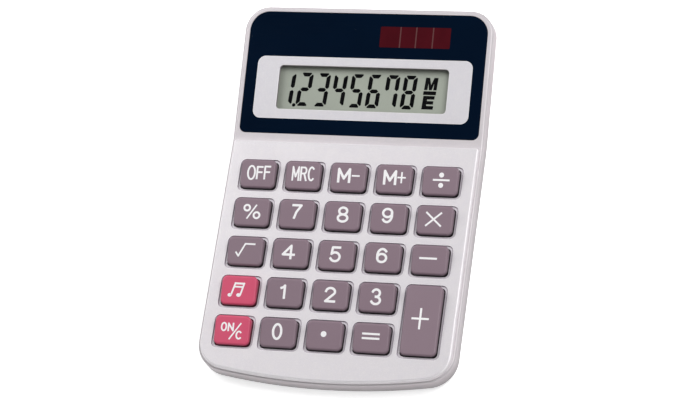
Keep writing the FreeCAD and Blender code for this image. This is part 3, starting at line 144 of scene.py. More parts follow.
class Graph(Nodes):
    """A material's nodes, with short calls for the patterns that the finishes share."""

    def __init__(self, name: str) -> None:
        """Starts a material with one shader and object coordinates.

        Args:
            name: Name of the material.
        """
        self.material = bpy.data.materials.new(name)
        self.material.use_nodes = True
        super().__init__(self.material.node_tree)
        self.shader = self.add("ShaderNodeBsdfPrincipled")
        self.output = self.add("ShaderNodeOutputMaterial", {"Surface": self.shader.outputs[0]})
        self.place = self.add("ShaderNodeTexCoord").outputs["Object"]

    def axis(self, name: str) -> Socket:
        """Returns the object coordinate along one axis."""
        return self.add("ShaderNodeSeparateXYZ", {0: self.place}).outputs[name]

    def mapping(self, stretch: Color = (1, 1, 1)) -> Socket:
        """Returns object coordinates, stretched along each axis."""
        return self.add("ShaderNodeMapping", {"Scale": stretch, "Vector": self.place}).outputs[0]

    def noise(self, size: float, detail: float = 3.0, stretch: Color = (1, 1, 1)) -> Socket:
        """Returns clouds of a size in millimetres, with some finer detail."""
        inputs = {"Scale": 1000 / size, "Detail": detail, "Vector": self.mapping(stretch)}
        return self.add("ShaderNodeTexNoise", inputs).outputs["Fac"]

    def clouds(self, size: float, detail: float, ends: Point) -> Socket:
        """Returns clouds of a size in millimetres that run from one value to another."""
        return self.spread(self.noise(size, detail), (0.3, 0.7), ends)

    def cells(self, size: float, feature: str = "F1", stretch: Color = (1, 1, 1)) -> bpy.types.Node:
        """Adds a pattern of cells of about a size, in millimetres."""
        inputs = {"Scale": 1000 / size, "Vector": self.mapping(stretch)}
        return self.add("ShaderNodeTexVoronoi", inputs, feature=feature)

    def spread(self, value: Socket, source: Point, target: Point) -> Socket:
        """Maps a value from one range to another."""
        ends = dict(zip(("From Min", "From Max", "To Min", "To Max"), (*source, *target)))
        return self.add("ShaderNodeMapRange", {"Value": value, **ends}).outputs[0]

    def math(self, operation: str, first: object, second: object) -> Socket:
        """Returns the result of an operation on two values, each a socket or a number."""
        return self.add("ShaderNodeMath", {0: first, 1: second}, operation=operation).outputs[0]

    def times(self, first: object, second: object) -> Socket:
        """Returns the product of two values, each a socket or a number."""
        return self.math("MULTIPLY", first, second)

    def blend(self, factor: Socket, low: object, high: object) -> Socket:
        """Returns a mix of two colours, with the factor's share of the second."""
        return self.add("ShaderNodeMix", {0: factor, 6: low, 7: high}, data_type="RGBA").outputs[2]

    def dot(self, first: object, second: object) -> Socket:
        """Returns the dot product of two directions, each a socket or fixed."""
        inputs = {0: first, 1: second}
        return self.add("ShaderNodeVectorMath", inputs, operation="DOT_PRODUCT").outputs["Value"]

    def facing(self, way: object) -> Socket:
        """Returns how far the surface faces a direction, from -1 to 1."""
        return self.dot(self.add("ShaderNodeNewGeometry").outputs["Normal"], way)

    def edges(self, radius: float) -> Socket:
        """Returns 1 on the piece's edges, up to a reach in millimetres, and 0 elsewhere."""
        bevel = self.add("ShaderNodeBevel", {"Radius": radius * MM}, samples=6)
        return self.spread(self.facing(bevel.outputs[0]), (0.8, 0.995), (1, 0))

    def corners(self, reach: float) -> Socket:
        """Returns 1 in gaps and inner corners, up to a reach in millimetres, and 0 on open faces."""
        node = self.add("ShaderNodeAmbientOcclusion", {"Distance": reach * MM}, samples=6)
        return self.spread(node.outputs["AO"], (0.3, 0.8), (1, 0))

    def walls(self) -> Socket:
        """Returns 1 on faces that stand upright on the deck, and 0 on those that lie along it."""
        return self.spread(self.facing(DECK.normal()), (0.05, 0.3), (1, 0))

    def rims(self) -> Socket:
        """Returns 1 on edges rounded off towards the deck, and 0 on faces along it or upright."""
        value = self.facing(DECK.normal())
        return self.times(self.spread(value, (0.3, 0.6), (0, 1)), self.spread(value, (0.88, 0.96), (1, 0)))

    def below(self, plane: Plane, low: float, high: float) -> Socket:
        """Tells how deep a place lies under a face of the calculator.

        Args:
            plane: The face.
            low: Height over it in millimetres, below which the value is 1.
            high: Height over it, above which the value is 0.

        Returns:
            The value's socket.
        """
        height = self.dot(self.place, plane.normal())
        level = plane.point(0, 0, 0).dot(plane.normal())
        return self.spread(height, (level + low * MM, level + high * MM), (1, 0))

    def beyond(self, across: float, along: float) -> Socket:
        """Returns 1 past a distance from the middle or in front of a place, in millimetres, else 0."""
        side = self.math("GREATER_THAN", self.math("ABSOLUTE", self.axis("X"), 0), across * MM)
        return self.math("MAXIMUM", side, self.math("LESS_THAN", self.axis("Y"), along * MM))

    def relief(self, height: Socket, depth: float, strength: float = 1.0) -> None:
        """Gives the surface a relief of a depth in millimetres, of which a share shows."""
        inputs = {"Distance": depth * MM, "Strength": strength, "Height": height}
        self.join(self.add("ShaderNodeBump", inputs).outputs[0], self.shader.inputs["Normal"])

    def paint(self, color: Socket) -> None:
        """Sends a colour to the shader."""
        self.join(color, self.shader.inputs["Base Color"])

    def rough(self, value: Socket) -> None:
        """Sends a roughness to the shader."""
        self.join(value, self.shader.inputs["Roughness"])

    def fix(self, **values: float) -> None:
        """Sets sockets of the shader that are the same all over, with _ for a space in a name."""
        for key, value in values.items():
            self.shader.inputs[key.replace("_", " ")].default_value = value


@dataclass(frozen=True)
class Finish:
    """A finish of the calculator.

    Args:
        name: Name of its material.
        color: Its main colour.
    """

    name: str
    color: Color

    def tint(self, *factors: float) -> Color:
        """Returns the main colour made lighter or darker, by one factor or by one for each part."""
        parts = zip(self.color, factors * (3 // len(factors)))
        return tuple(min(1.0, part * factor) for part, factor in parts)

    def build(self) -> bpy.types.Material:
        """Returns the finish as a material."""
        graph = Graph(self.name)
        self.fill(graph)
        return graph.material

    def fill(self, graph: Graph) -> None:
        """Adds the finish's patterns to a graph."""
        raise NotImplementedError


@dataclass(frozen=True)
class Moulded(Finish):
    """Moulded plastic or rubber: clouded colour, a fine spark texture, lighter edges, which on the keys are
    partly a painted highlight, and on the keys painted shade low on the walls.

    Args:
        rough: Lowest and highest roughness.
        cloud: How far the colour varies, as a share.
        grain: Size of the texture's grains, in millimetres.
        depth: Depth of the texture, in millimetres.
        wear_and_highlight: How much lighter an edge is painted, as a share: rubbing, and on the keys partly
            a painted highlight on their rounded edges.
        specular: Strength of the reflection.
        coat: Weight of a gloss coat.
        sheen: Weight of a soft, powdery sheen.
        foot: How dark the upright walls near the deck are painted, as a share of the colour; painted shade
            where the walls sink into their holes.
    """

    rough: Point = (0.35, 0.5)
    cloud: float = 0.04
    grain: float = 0.35
    depth: float = 0.006
    wear_and_highlight: float = 0.08
    specular: float = 0.5
    coat: float = 0.0
    sheen: float = 0.0
    foot: float = 1.0

    def fill(self, graph: Graph) -> None:
        """Adds the finish's patterns to a graph.

        Args:
            graph: The material's graph.
        """
        body = graph.blend(graph.noise(14, 5), self.tint(1 - self.cloud), self.tint(1 + self.cloud))
        speck = graph.spread(graph.noise(self.grain, 1), (0.3, 0.7), (0, 1))
        body = graph.blend(graph.times(speck, 0.25), body, self.tint(1 - 2 * self.cloud))
        # Edges painted lighter: rubbing, and on the keys partly a painted highlight on the rounded edges.
        rubbed_and_highlit = graph.times(graph.edges(0.5), graph.spread(graph.noise(5, 3), (0.35, 0.65), (0.3, 1)))
        body = graph.blend(rubbed_and_highlit, body, self.tint(1 + self.wear_and_highlight))
        # Painted shade: upright walls near the deck are painted darker where they sink into their holes.
        if self.foot < 1:
            deep = graph.times(graph.walls(), graph.below(DECK, -0.2, 1.4))
            body = graph.blend(deep, body, self.tint(self.foot))
        graph.paint(body)
        graph.rough(graph.clouds(9, 4, self.rough))
        graph.relief(speck, self.depth)
        graph.fix(Specular_IOR_Level=self.specular, Coat_Weight=self.coat, Sheen_Weight=self.sheen)


@dataclass(frozen=True)
class Pearl(Finish):
    """Silver lacquer with fine flakes under a satin clear coat, with painted light and shade: rounded edges
    painted lighter or darker by a set share, upright walls, gaps, inner corners and recesses painted darker,
    and the lowest edge painted darker.

    Args:
        flake: Size of a flake, in millimetres.
        sparkle: How far one flake differs from the next, as a share.
        rough: Lowest and highest roughness.
        painted_rim_light: How light rounded edges and rims are painted, as a share of the colour; above 1 a
            painted highlight, below 1 painted shade.
        dust_and_corner_shade: Colour painted into gaps and inner corners, as painted shade.
        recess: Face below which the piece is painted brown, as painted shade.
        foot: How dark its lowest edge is painted, as a share of the colour; painted shade, darker towards
            the bottom.
        corner_shade_reach: How far from a corner the painted shade reaches, in millimetres.
        painted_light_margin: Where the outer band starts, across and along; past it the upright walls are
            painted lighter, as painted light, and no painted corner shade or dark corner line is laid.
        line: How strong the dark line painted into an inner corner is, as painted shade.
    """

    flake: float = 0.12
    sparkle: float = 0.05
    rough: Point = (0.38, 0.5)
    painted_rim_light: float = 1.4
    dust_and_corner_shade: Color = (0.45, 0.39, 0.46)
    recess: Plane | None = None
    foot: float = 1.0
    corner_shade_reach: float = 2.6
    painted_light_margin: Point | None = None
    line: float = 0.25

    def fill(self, graph: Graph) -> None:
        """Adds the finish's patterns to a graph.

        Args:
            graph: The material's graph.
        """
        cloud = graph.blend(graph.noise(30, 4), self.tint(0.985), self.tint(1.015))
        patches = graph.spread(graph.noise(2.4, 4), (0.35, 0.65), (0, 0.7))
        cloud = graph.blend(patches, cloud, self.tint(0.955, 0.955, 0.98))
        flakes = graph.cells(self.flake)
        tone = graph.add("ShaderNodeSeparateColor", {0: flakes.outputs["Color"]})
        glitter = graph.times(tone.outputs[0], 0.5)
        body = graph.blend(glitter, cloud, self.tint(1 - 2 * self.sparkle))
        lit = graph.times(graph.math("GREATER_THAN", tone.outputs[1], 0.9), 0.4)
        body = graph.blend(lit, body, self.tint(1 + 4 * self.sparkle))
        # Painted highlight on rounded edges and rims, broken up by clouds; a share below 1 paints shade
        # there instead.
        worn_and_highlit = graph.math("MAXIMUM", graph.edges(0.5), graph.rims())
        rubbed_and_highlit = graph.times(worn_and_highlit, graph.clouds(6, 3, (0.6, 1)))
        body = graph.blend(rubbed_and_highlit, body, self.tint(self.painted_rim_light))
        # Painted shade: upright walls are painted darker and pinker.
        shade = self.tint(0.84, 0.79, 0.81)
        wall, painted_corner_shade = graph.times(graph.walls(), 0.9), graph.corners(self.corner_shade_reach)
        # Painted shade: a thin dark line in inner corners, found by ambient occlusion.
        line = graph.times(graph.corners(0.4), self.line)
        body = graph.blend(wall, body, shade)
        # Painted light: past the outer band's start the upright walls are painted lighter, and the painted
        # corner shade and dark corner line are left out.
        if self.painted_light_margin:
            outer = graph.beyond(*self.painted_light_margin)
            body = graph.blend(graph.times(wall, outer), body, self.tint(1.2))
            inner = graph.math("SUBTRACT", 1, outer)
            painted_corner_shade, line = graph.times(painted_corner_shade, inner), graph.times(line, inner)
        # Painted shade: below the recess's face the piece is painted brown.
        if self.recess:
            body = graph.blend(graph.below(self.recess, -1.0, 0.0), body, (0.16, 0.11, 0.13))
        # Painted shade: the piece is painted darker towards its bottom.
        if self.foot < 1:
            body = graph.blend(graph.below(DECK, -8.0, -3.0), body, self.tint(self.foot))
        # Painted shade: gaps and inner corners, found by ambient occlusion, are painted darker.
        body = graph.blend(painted_corner_shade, body, self.dust_and_corner_shade)
        # Painted shade: the thin dark corner line is laid over everything else.
        graph.paint(graph.blend(line, body, (0.2, 0.16, 0.2)))
        graph.rough(graph.clouds(12, 4, self.rough))
        graph.relief(graph.noise(0.5, 2), 0.003)
        graph.fix(Metallic=0.2, Specular_IOR_Level=0.3, Coat_Weight=0.08, Coat_Roughness=0.3)


@dataclass(frozen=True)
class Gloss(Finish):
    """A dark polished sheet with faint dust and fine wiping marks.

    Args:
        specular: Strength of the reflection.
        rough: Lowest and highest roughness.
        dust_and_corner_shade: Colour of the fine specks on it.
    """

    specular: float = 0.05
    rough: Point = (0.06, 0.16)
    dust_and_corner_shade: Color = (0.35, 0.37, 0.42)

    def fill(self, graph: Graph) -> None:
        """Adds the finish's patterns to a graph.

        Args:
            graph: The material's graph.
        """
        body = graph.blend(graph.noise(22, 3), self.tint(0.8), self.tint(1.25))
        specks = graph.cells(2.6)
        near = graph.spread(specks.outputs["Distance"], (0.015, 0.045), (0.35, 0))
        few = graph.math("GREATER_THAN", graph.noise(3.1, 1), 0.6)
        graph.paint(graph.blend(graph.times(near, few), body, self.dust_and_corner_shade))
        wiped = graph.noise(1.6, 2, stretch=(0.15, 2.5, 1))
        graph.rough(graph.spread(wiped, (0.35, 0.7), self.rough))
        graph.relief(graph.noise(8, 1), 0.004, 0.4)
        graph.fix(Specular_IOR_Level=self.specular)


@dataclass(frozen=True)
class ClearWindow(Finish):
    """Clear acrylic with light dust on it.

    Args:
        alpha: Lowest and highest share of it that shows.
    """

    alpha: Point = (0.001, 0.008)

    def fill(self, graph: Graph) -> None:
        """Adds the finish's patterns to a graph.

        Args:
            graph: The material's graph.
        """
        graph.paint(graph.blend(graph.noise(12, 3), self.tint(0.95), self.color))
        graph.rough(graph.clouds(4, 4, (0.03, 0.09)))
        graph.join(graph.clouds(7, 4, self.alpha), graph.shader.inputs["Alpha"])
        graph.relief(graph.noise(10, 1), 0.004, 0.3)
        graph.fix(Specular_IOR_Level=0.03)


@dataclass(frozen=True)
class DisplayGlass(Finish):
    """Grey-green reflective display, finely brushed behind its glass.

    Args:
        shade: Its colour where it is duller.
    """

    shade: Color

    def fill(self, graph: Graph) -> None:
        """Adds the finish's patterns to a graph.

        Args:
            graph: The material's graph.
        """
        fine = graph.noise(0.22, 2)
        body = graph.blend(graph.noise(26, 2), self.shade, self.color)
        graph.paint(graph.blend(graph.times(fine, 0.22), body, self.tint(1.18)))
        graph.rough(graph.clouds(3, 3, (0.34, 0.46)))
        graph.relief(fine, 0.003, 0.5)
        graph.fix(Specular_IOR_Level=0.3)


@dataclass(frozen=True)
class SolarStrip(Finish):
    """Four dark cells behind a polished window, with pale lines between them.

    Args:
        line: Colour of the lines.
        lines: Places of the lines across the calculator, in millimetres.
        width: Width of a line, in millimetres.
    """

    line: Color
    lines: tuple[float, ...] = (12.9, 19.0, 25.5)
    width: float = 0.5

    def fill(self, graph: Graph) -> None:
        """Adds the finish's patterns to a graph.

        Args:
            graph: The material's graph.
        """
        across = graph.axis("X")
        marks = None
        for place in self.lines:
            offset = graph.math("SUBTRACT", across, place * MM)
            near = graph.math("LESS_THAN", graph.math("ABSOLUTE", offset, 0), self.width / 2 * MM)
            marks = near if marks is None else graph.math("MAXIMUM", marks, near)
        cloud = graph.noise(5, 4, stretch=(1, 0.4, 1))
        body = graph.blend(cloud, self.tint(0.75), self.tint(1.3))
        graph.paint(graph.blend(graph.times(marks, 0.75), body, self.line))
        graph.rough(graph.clouds(6, 3, (0.07, 0.15)))
        graph.relief(graph.noise(8, 1), 0.003, 0.4)
        graph.fix(Specular_IOR_Level=0.08)


@dataclass(frozen=True)
class Metal(Finish):
    """Plated or plain metal with fine scratches and dull spots.

    Args:
        dull: Its colour where it is dull.
        rough: Lowest and highest roughness.
        stretch: Direction of the scratches, as a scale along each axis.
    """

    dull: Color
    rough: Point = (0.25, 0.45)
    stretch: Color = (0.2, 3, 1)

    def fill(self, graph: Graph) -> None:
        """Adds the finish's patterns to a graph.

        Args:
            graph: The material's graph.
        """
        scratch = graph.noise(0.6, 3, stretch=self.stretch)
        spots = graph.spread(graph.noise(3, 4), (0.45, 0.75), (0, 1))
        graph.paint(graph.blend(spots, self.color, self.dull))
        graph.rough(graph.spread(scratch, (0.3, 0.7), self.rough))
        graph.relief(scratch, 0.004, 0.6)
        graph.fix(Metallic=1.0)


@dataclass(frozen=True)
class Laminate(Finish):
    """Circuit board laminate: solder lacquer with tracks that shine through and a glass weave.

    Args:
        track: Colour over a track.
    """

    track: Color

    def fill(self, graph: Graph) -> None:
        """Adds the finish's patterns to a graph.

        Args:
            graph: The material's graph.
        """
        inputs = {"Scale": 350, "Vector": graph.mapping()}
        weave = graph.add("ShaderNodeTexWave", inputs, wave_type="BANDS", bands_direction="X")
        tracks = graph.cells(5.5, "DISTANCE_TO_EDGE", stretch=(0.35, 1, 1))
        lines = graph.spread(tracks.outputs["Distance"], (0.05, 0.09), (1, 0))
        body = graph.blend(graph.noise(10, 3), self.tint(0.85), self.tint(1.15))
        graph.paint(graph.blend(lines, body, self.track))
        graph.rough(graph.spread(weave.outputs["Fac"], (0, 1), (0.3, 0.42)))
        graph.relief(graph.math("ADD", graph.times(weave.outputs["Fac"], 0.2), lines), 0.02)


@dataclass(frozen=True)
class Sleeve(Finish):
    """A printed sleeve on a round can, with a plain band of a second colour at one end.

    Args:
        band: Colour of the band.
        edge: Where the band starts across the calculator, in millimetres.
    """

    band: Color
    edge: float

    def fill(self, graph: Graph) -> None:
        """Adds the finish's patterns to a graph.

        Args:
            graph: The material's graph.
        """
        banded = graph.math("GREATER_THAN", graph.axis("X"), self.edge * MM)
        body = graph.blend(banded, self.color, self.band)
        worn_and_highlit = graph.spread(graph.noise(4, 5), (0.55, 0.8), (0, 0.25))
        graph.paint(graph.blend(worn_and_highlit, body, (0.6, 0.6, 0.58)))
        graph.rough(graph.clouds(6, 3, (0.22, 0.38)))
        graph.relief(graph.noise(1.2, 2), 0.006, 0.5)
        graph.fix(Metallic=0.6)


class Finishes:
    """Every finish of the calculator, by the name of its slot."""

    SILVER: Color = (0.72, 0.69, 0.712)
    SHELL: Color = (0.65, 0.61, 0.63)

    def __init__(self) -> None:
        """Builds the materials."""
        cap = {"rough": (0.4, 0.52), "cloud": 0.03, "grain": 0.3}
        printed = {"rough": (0.4, 0.5), "wear_and_highlight": 0.0}
        made = (
            # Plate: outer walls painted lighter as painted light, gaps and inner corners painted darker as
            # painted shade.
            Pearl("case_silver", self.SILVER, painted_light_margin=(45.0, -65.0), line=0.75),
            # Shell: rounded edges, the lowest edge, gaps and corners painted darker, as painted shade.
            Pearl(
                "case_silver_shell",
                self.SHELL,
                painted_rim_light=0.95,
                dust_and_corner_shade=(0.76, 0.7, 0.73),
                foot=0.5,
                corner_shade_reach=1.6,
                line=0.1,
            ),
            Moulded("case_grey", (0.56, 0.55, 0.57), grain=0.45, depth=0.02, wear_and_highlight=0.12),
            Gloss("panel_navy", (0.0006, 0.0052, 0.0165)),
            # Bezel: painted highlight on rounded edges, painted brown shade inside the display's recess.
            Pearl("bezel_silver", (0.7, 0.68, 0.71), painted_rim_light=1.5, recess=HEAD),
            ClearWindow("window_clear", (0.3, 0.32, 0.3)),
            DisplayGlass("display_grey_green", (0.37, 0.4, 0.34), (0.32, 0.345, 0.3)),
            Moulded("ribbon_film", (0.62, 0.42, 0.14), rough=(0.2, 0.35), depth=0.002, coat=0.2),
            SolarStrip("solar_maroon", (0.06, 0.004, 0.008), (0.13, 0.06, 0.06)),
            SolarStrip("solar_cell", (0.05, 0.008, 0.014), (0.35, 0.3, 0.25)),
            Laminate("board_green", (0.02, 0.14, 0.05), (0.05, 0.26, 0.09)),
            Moulded("chip_black", (0.012, 0.012, 0.013), rough=(0.25, 0.4), grain=1.2, depth=0.02),
            Sleeve("capacitor_sleeve", (0.02, 0.03, 0.07), (0.45, 0.46, 0.48), 1000),
            Metal("sounder_brass", (0.72, 0.53, 0.22), (0.45, 0.32, 0.14)),
            Moulded("mat_rubber", (0.5, 0.5, 0.48), rough=(0.55, 0.75), sheen=0.2),
            Sleeve("battery_can", (0.03, 0.06, 0.16), (0.62, 0.42, 0.12), 14.0),
            Metal("contact_spring", (0.68, 0.67, 0.64), (0.5, 0.48, 0.44)),
            Metal("screw_steel", (0.45, 0.45, 0.46), (0.3, 0.29, 0.27), rough=(0.3, 0.5)),
            # Keys: edges painted lighter, partly as a painted highlight; low walls painted darker, as
            # painted shade.
            Moulded("key_pink", (0.67, 0.08, 0.165), wear_and_highlight=0.3, foot=0.2, **cap),
            Moulded("key_mauve", (0.247, 0.173, 0.212), wear_and_highlight=0.55, foot=0.08, **cap),
            Moulded("foot_rubber", (0.035, 0.035, 0.038), (0.6, 0.8), cloud=0.15, grain=0.7, depth=0.03),
            Moulded("wire_red", (0.45, 0.02, 0.02), rough=(0.35, 0.5)),
            Moulded("wire_black", (0.015, 0.015, 0.017), rough=(0.35, 0.5)),
            Moulded("legend_white", (0.95, 0.94, 0.95), cloud=0.02, depth=0.002, **printed),
            Moulded("display_dark", (0.001, 0.001, 0.002), depth=0.001, specular=0.02, cloud=0.1, **printed),
        )
        self.table = {finish.name: finish.build() for finish in made}

    def dress(self, node: bpy.types.Object, slot: str) -> None:
        """Gives a piece a finish.

        Args:
            node: The piece.
            slot: Name of the slot whose finish it gets.
        """
        if not node.data.materials:
            node.data.materials.append(self.table[slot])
        for place in range(len(node.data.materials)):
            node.data.materials[place] = self.table[slot]


def arc(
    x: float, y: float, width: float, height: float, start: float, end: float, steps: int = 14
) -> Stroke:
    """Returns points along part of an oval.

    Args:
        x: Centre across.
        y: Centre along.
        width: Half of the oval's width.
        height: Half of its height.
        start: Angle of the first point, in degrees.
        end: Angle of the last point, in degrees.
        steps: Number of stretches between the points.

    Returns:
        The points.
    """
    turn = [math.radians(start + (end - start) * step / steps) for step in range(steps + 1)]
    return [(x + width * math.cos(angle), y + height * math.sin(angle)) for angle in turn]


def ring(x: float, y: float, width: float, height: float) -> Stroke:
    """Returns a closed oval as points, the last one on the first."""
    return arc(x, y, width, height, 0, 360, 28)


class Glyph(Enum):
    """Signs of the keys, as strokes in a box one wide and one high, with its centre at 0, 0."""

    ZERO = [ring(0, 0, 0.5, 0.5)]
    ONE = [[(-0.5, 0.3), (0.1, 0.36), (0.5, 0.5), (0.5, -0.5)]]
    TWO = [arc(0, 0.22, 0.5, 0.28, 172, -25) + [(-0.5, -0.5), (0.5, -0.5)]]
    THREE = [arc(-0.02, 0.25, 0.42, 0.25, 158, -90), arc(-0.02, -0.25, 0.5, 0.25, 90, -158)]
    FOUR = [[(0.22, -0.5), (0.22, 0.5), (-0.5, -0.22), (0.5, -0.22)]]
    FIVE = [[(0.46, 0.5), (-0.32, 0.5), (-0.42, 0.02)] + arc(-0.02, -0.18, 0.52, 0.32, 140, -155)]
    SIX = [ring(0, -0.19, 0.5, 0.31), arc(0.04, 0.0, 0.54, 0.5, 200, 42, 20)]
    SEVEN = [[(-0.5, 0.5), (0.5, 0.5), (-0.06, -0.05), (-0.28, -0.5)]]
    EIGHT = [ring(0, 0.255, 0.42, 0.245), ring(0, -0.245, 0.5, 0.255)]
    NINE = [[(-x, -y) for x, y in stroke] for stroke in SIX]
    C = [arc(0.05, 0, 0.55, 0.5, 50, 310)]
    F = [[(-0.5, -0.5), (-0.5, 0.5), (0.5, 0.5)], [(-0.5, 0.04), (0.4, 0.04)]]
    M = [[(-0.5, -0.5), (-0.5, 0.5), (0, -0.25), (0.5, 0.5), (0.5, -0.5)]]
    N = [[(-0.5, -0.5), (-0.5, 0.5), (0.5, -0.5), (0.5, 0.5)]]
    O = ZERO
    R = [
        [(-0.5, -0.5), (-0.5, 0.5), (0.1, 0.5)] + arc(0.12, 0.26, 0.36, 0.24, 90, -90) + [(-0.5, 0.02)],
        [(0.1, 0.02), (0.5, -0.5)],
    ]
    PLUS = [[(-0.5, 0), (0.5, 0)], [(0, -0.5), (0, 0.5)]]
    MINUS = [[(-0.5, 0), (0.5, 0)]]
    TIMES = [[(-0.5, -0.5), (0.5, 0.5)], [(-0.5, 0.5), (0.5, -0.5)]]
    OVER = [[(0.5, 0.5), (-0.5, -0.5)]]
    ROOT = [[(-0.5, -0.22), (-0.36, -0.5), (-0.02, 0.5), (0.5, 0.5)]]
    RING = ZERO
    EQUALS = [[(-0.5, 0.5), (0.5, 0.5)], [(-0.5, -0.5), (0.5, -0.5)]]
    DOT = [ring(0, 0, 0.5, 0.5)[:-1]]


@dataclass(frozen=True)
class Sign:
    """One sign of a legend, with its place and size on the key top in millimetres.

    Args:
        glyph: The sign.
        x: Its centre, from the key's centre.
        y: Its centre, from the key's centre.
        width: Width over the strokes' outsides.
        height: Height over the strokes' outsides.
        pen: Width of a stroke.
    """

    glyph: Glyph
    x: float
    y: float
    width: float
    height: float
    pen: float = 0.68


def digit(glyph: Glyph, x: float, y: float, width: float, height: float) -> tuple[Sign, ...]:
    """Returns a legend of one digit, in the digits' stronger pen."""
    return (Sign(glyph, x, y, width, height, 0.88),)


LEGENDS: dict[str, tuple[Sign, ...]] = {
    "key_off": (
        Sign(Glyph.O, -2.5, 0.17, 3.4, 5.75),
        Sign(Glyph.F, 0.7, 0.22, 2.6, 5.1),
        Sign(Glyph.F, 3.65, 0.35, 2.6, 5.3),
    ),
    "key_memory_recall": (
        Sign(Glyph.M, -2.74, 0.5, 2.9, 5.6, 0.62),
        Sign(Glyph.R, 0.32, 0.45, 2.75, 5.5),
        Sign(Glyph.C, 3.24, 0.55, 2.65, 5.7),
    ),
    "key_memory_minus": (
        Sign(Glyph.M, -1.57, 0.5, 5.1, 5.65, 0.95),
        Sign(Glyph.MINUS, 2.9, 0.45, 3.05, 0.6, 0.6),
    ),
    "key_memory_plus": (
        Sign(Glyph.M, -1.5, 0.43, 5.1, 5.65, 0.95),
        Sign(Glyph.PLUS, 2.9, 0.5, 3.2, 4.25, 0.6),
    ),
    "key_divide": (
        Sign(Glyph.MINUS, 0.36, 0.18, 6.3, 0.7, 0.7),
        Sign(Glyph.DOT, 0.36, 2.08, 1.85, 1.85),
        Sign(Glyph.DOT, 0.36, -1.8, 1.85, 1.85),
    ),
    "key_percent": (
        Sign(Glyph.OVER, 0.1, -0.05, 3.75, 5.5, 0.6),
        Sign(Glyph.RING, -1.8, 1.38, 2.95, 2.9, 0.75),
        Sign(Glyph.RING, 2.1, -1.3, 3.0, 3.0, 0.75),
    ),
    "key_7": digit(Glyph.SEVEN, 0.05, 0.78, 4.0, 5.6),
    "key_8": digit(Glyph.EIGHT, 0.22, 0.4, 4.5, 6.1),
    "key_9": digit(Glyph.NINE, -0.37, 0.8, 4.3, 5.8),
    "key_multiply": (Sign(Glyph.TIMES, -0.47, 0.17, 6.05, 5.4),),
    "key_root": (Sign(Glyph.ROOT, 0.05, 0.17, 7.5, 5.25, 0.62),),
    "key_4": digit(Glyph.FOUR, -0.74, 0.27, 5.1, 5.5),
    "key_5": digit(Glyph.FIVE, -0.37, 0.2, 4.3, 6.0),
    "key_6": digit(Glyph.SIX, -0.33, 0.6, 4.25, 5.7),
    "key_minus": (Sign(Glyph.MINUS, -0.5, 0.37, 6.6, 0.75, 0.75),),
    "key_tone": (
        Sign(Glyph.DOT, -3.2, -2.05, 1.6, 1.35),
        Sign(Glyph.DOT, 0.2, -1.95, 1.75, 1.35),
        Sign(Glyph.OVER, -2.03, 0.27, 1.86, 4.87, 0.62),
        Sign(Glyph.OVER, 1.44, 0.33, 1.72, 4.75, 0.62),
        Sign(Glyph.MINUS, 0.33, 2.33, 3.6, 0.72, 0.72),
        Sign(Glyph.MINUS, 0.08, 1.08, 3.4, 0.6, 0.6),
    ),
    "key_1": digit(Glyph.ONE, -0.53, 0.2, 2.15, 5.4),
    "key_2": digit(Glyph.TWO, 0.0, 0.0, 4.25, 5.8),
    "key_3": digit(Glyph.THREE, -0.28, 0.13, 4.15, 6.25),
    "key_plus": (Sign(Glyph.PLUS, -0.4, 0.45, 6.4, 7.9, 0.75),),
    "key_on_clear": (
        Sign(Glyph.O, -3.14, 0.94, 2.4, 3.45, 0.6),
        Sign(Glyph.N, -0.5, 0.94, 2.4, 3.2, 0.6),
        Sign(Glyph.OVER, 1.24, -0.53, 4.4, 6.3, 0.55),
        Sign(Glyph.C, 2.75, -1.9, 2.35, 3.3, 0.6),
    ),
    "key_0": digit(Glyph.ZERO, -0.27, 0.25, 3.95, 6.25),
    "key_point": (Sign(Glyph.DOT, -0.24, 0.3, 2.15, 2.15),),
    "key_equals": (Sign(Glyph.EQUALS, -0.12, 0.52, 6.6, 2.4, 0.75),),
}


def link(name: str, data: bpy.types.ID) -> bpy.types.Object:
    """Returns a new object of a mesh, a lamp's or a camera's data, linked to the scene."""
    piece = bpy.data.objects.new(name, data)
    bpy.context.scene.collection.objects.link(piece)
    return piece


def finish_mesh(name: str, shape: Shape, place: Matrix, smooth: bool = False) -> bpy.types.Object:
    """Turns a shape into a piece.

    Args:
        name: Name of the piece.
        shape: The shape, in millimetres.
        place: Where it goes, in metres.
        smooth: Whether its faces are shaded round.

    Returns:
        The piece, with its place in its mesh.
    """
    bmesh.ops.recalc_face_normals(shape, faces=shape.faces)
    shape.transform(place @ Matrix.Scale(MM, 4))
    mesh = bpy.data.meshes.new(name)
    shape.to_mesh(mesh)
    shape.free()
    for face in mesh.polygons:
        face.use_smooth = smooth
    return link(name, mesh)


def plate(shape: Shape, outline: Stroke, low: float, high: float) -> None:
    """Adds a flat plate to a shape.

    Args:
        shape: The shape that it goes into.
        outline: Its corners, in millimetres.
        low: Height of its underside.
        high: Height of its upper side.
    """
    face = shape.faces.new([shape.verts.new((x, y, low)) for x, y in outline])
    grown = bmesh.ops.extrude_face_region(shape, geom=[face])
    tops = [part for part in grown["geom"] if isinstance(part, bmesh.types.BMVert)]
    bmesh.ops.translate(shape, verts=tops, vec=(0, 0, high - low))


def key_box(key: str) -> tuple[Vector, Vector]:
    """Returns a key's lowest and highest corner on the deck, in metres."""
    inverse = DECK.matrix().inverted()
    points = [inverse @ vertex.co for vertex in frame["nodes"][key].data.vertices]
    return Vector(map(min, zip(*points))), Vector(map(max, zip(*points)))


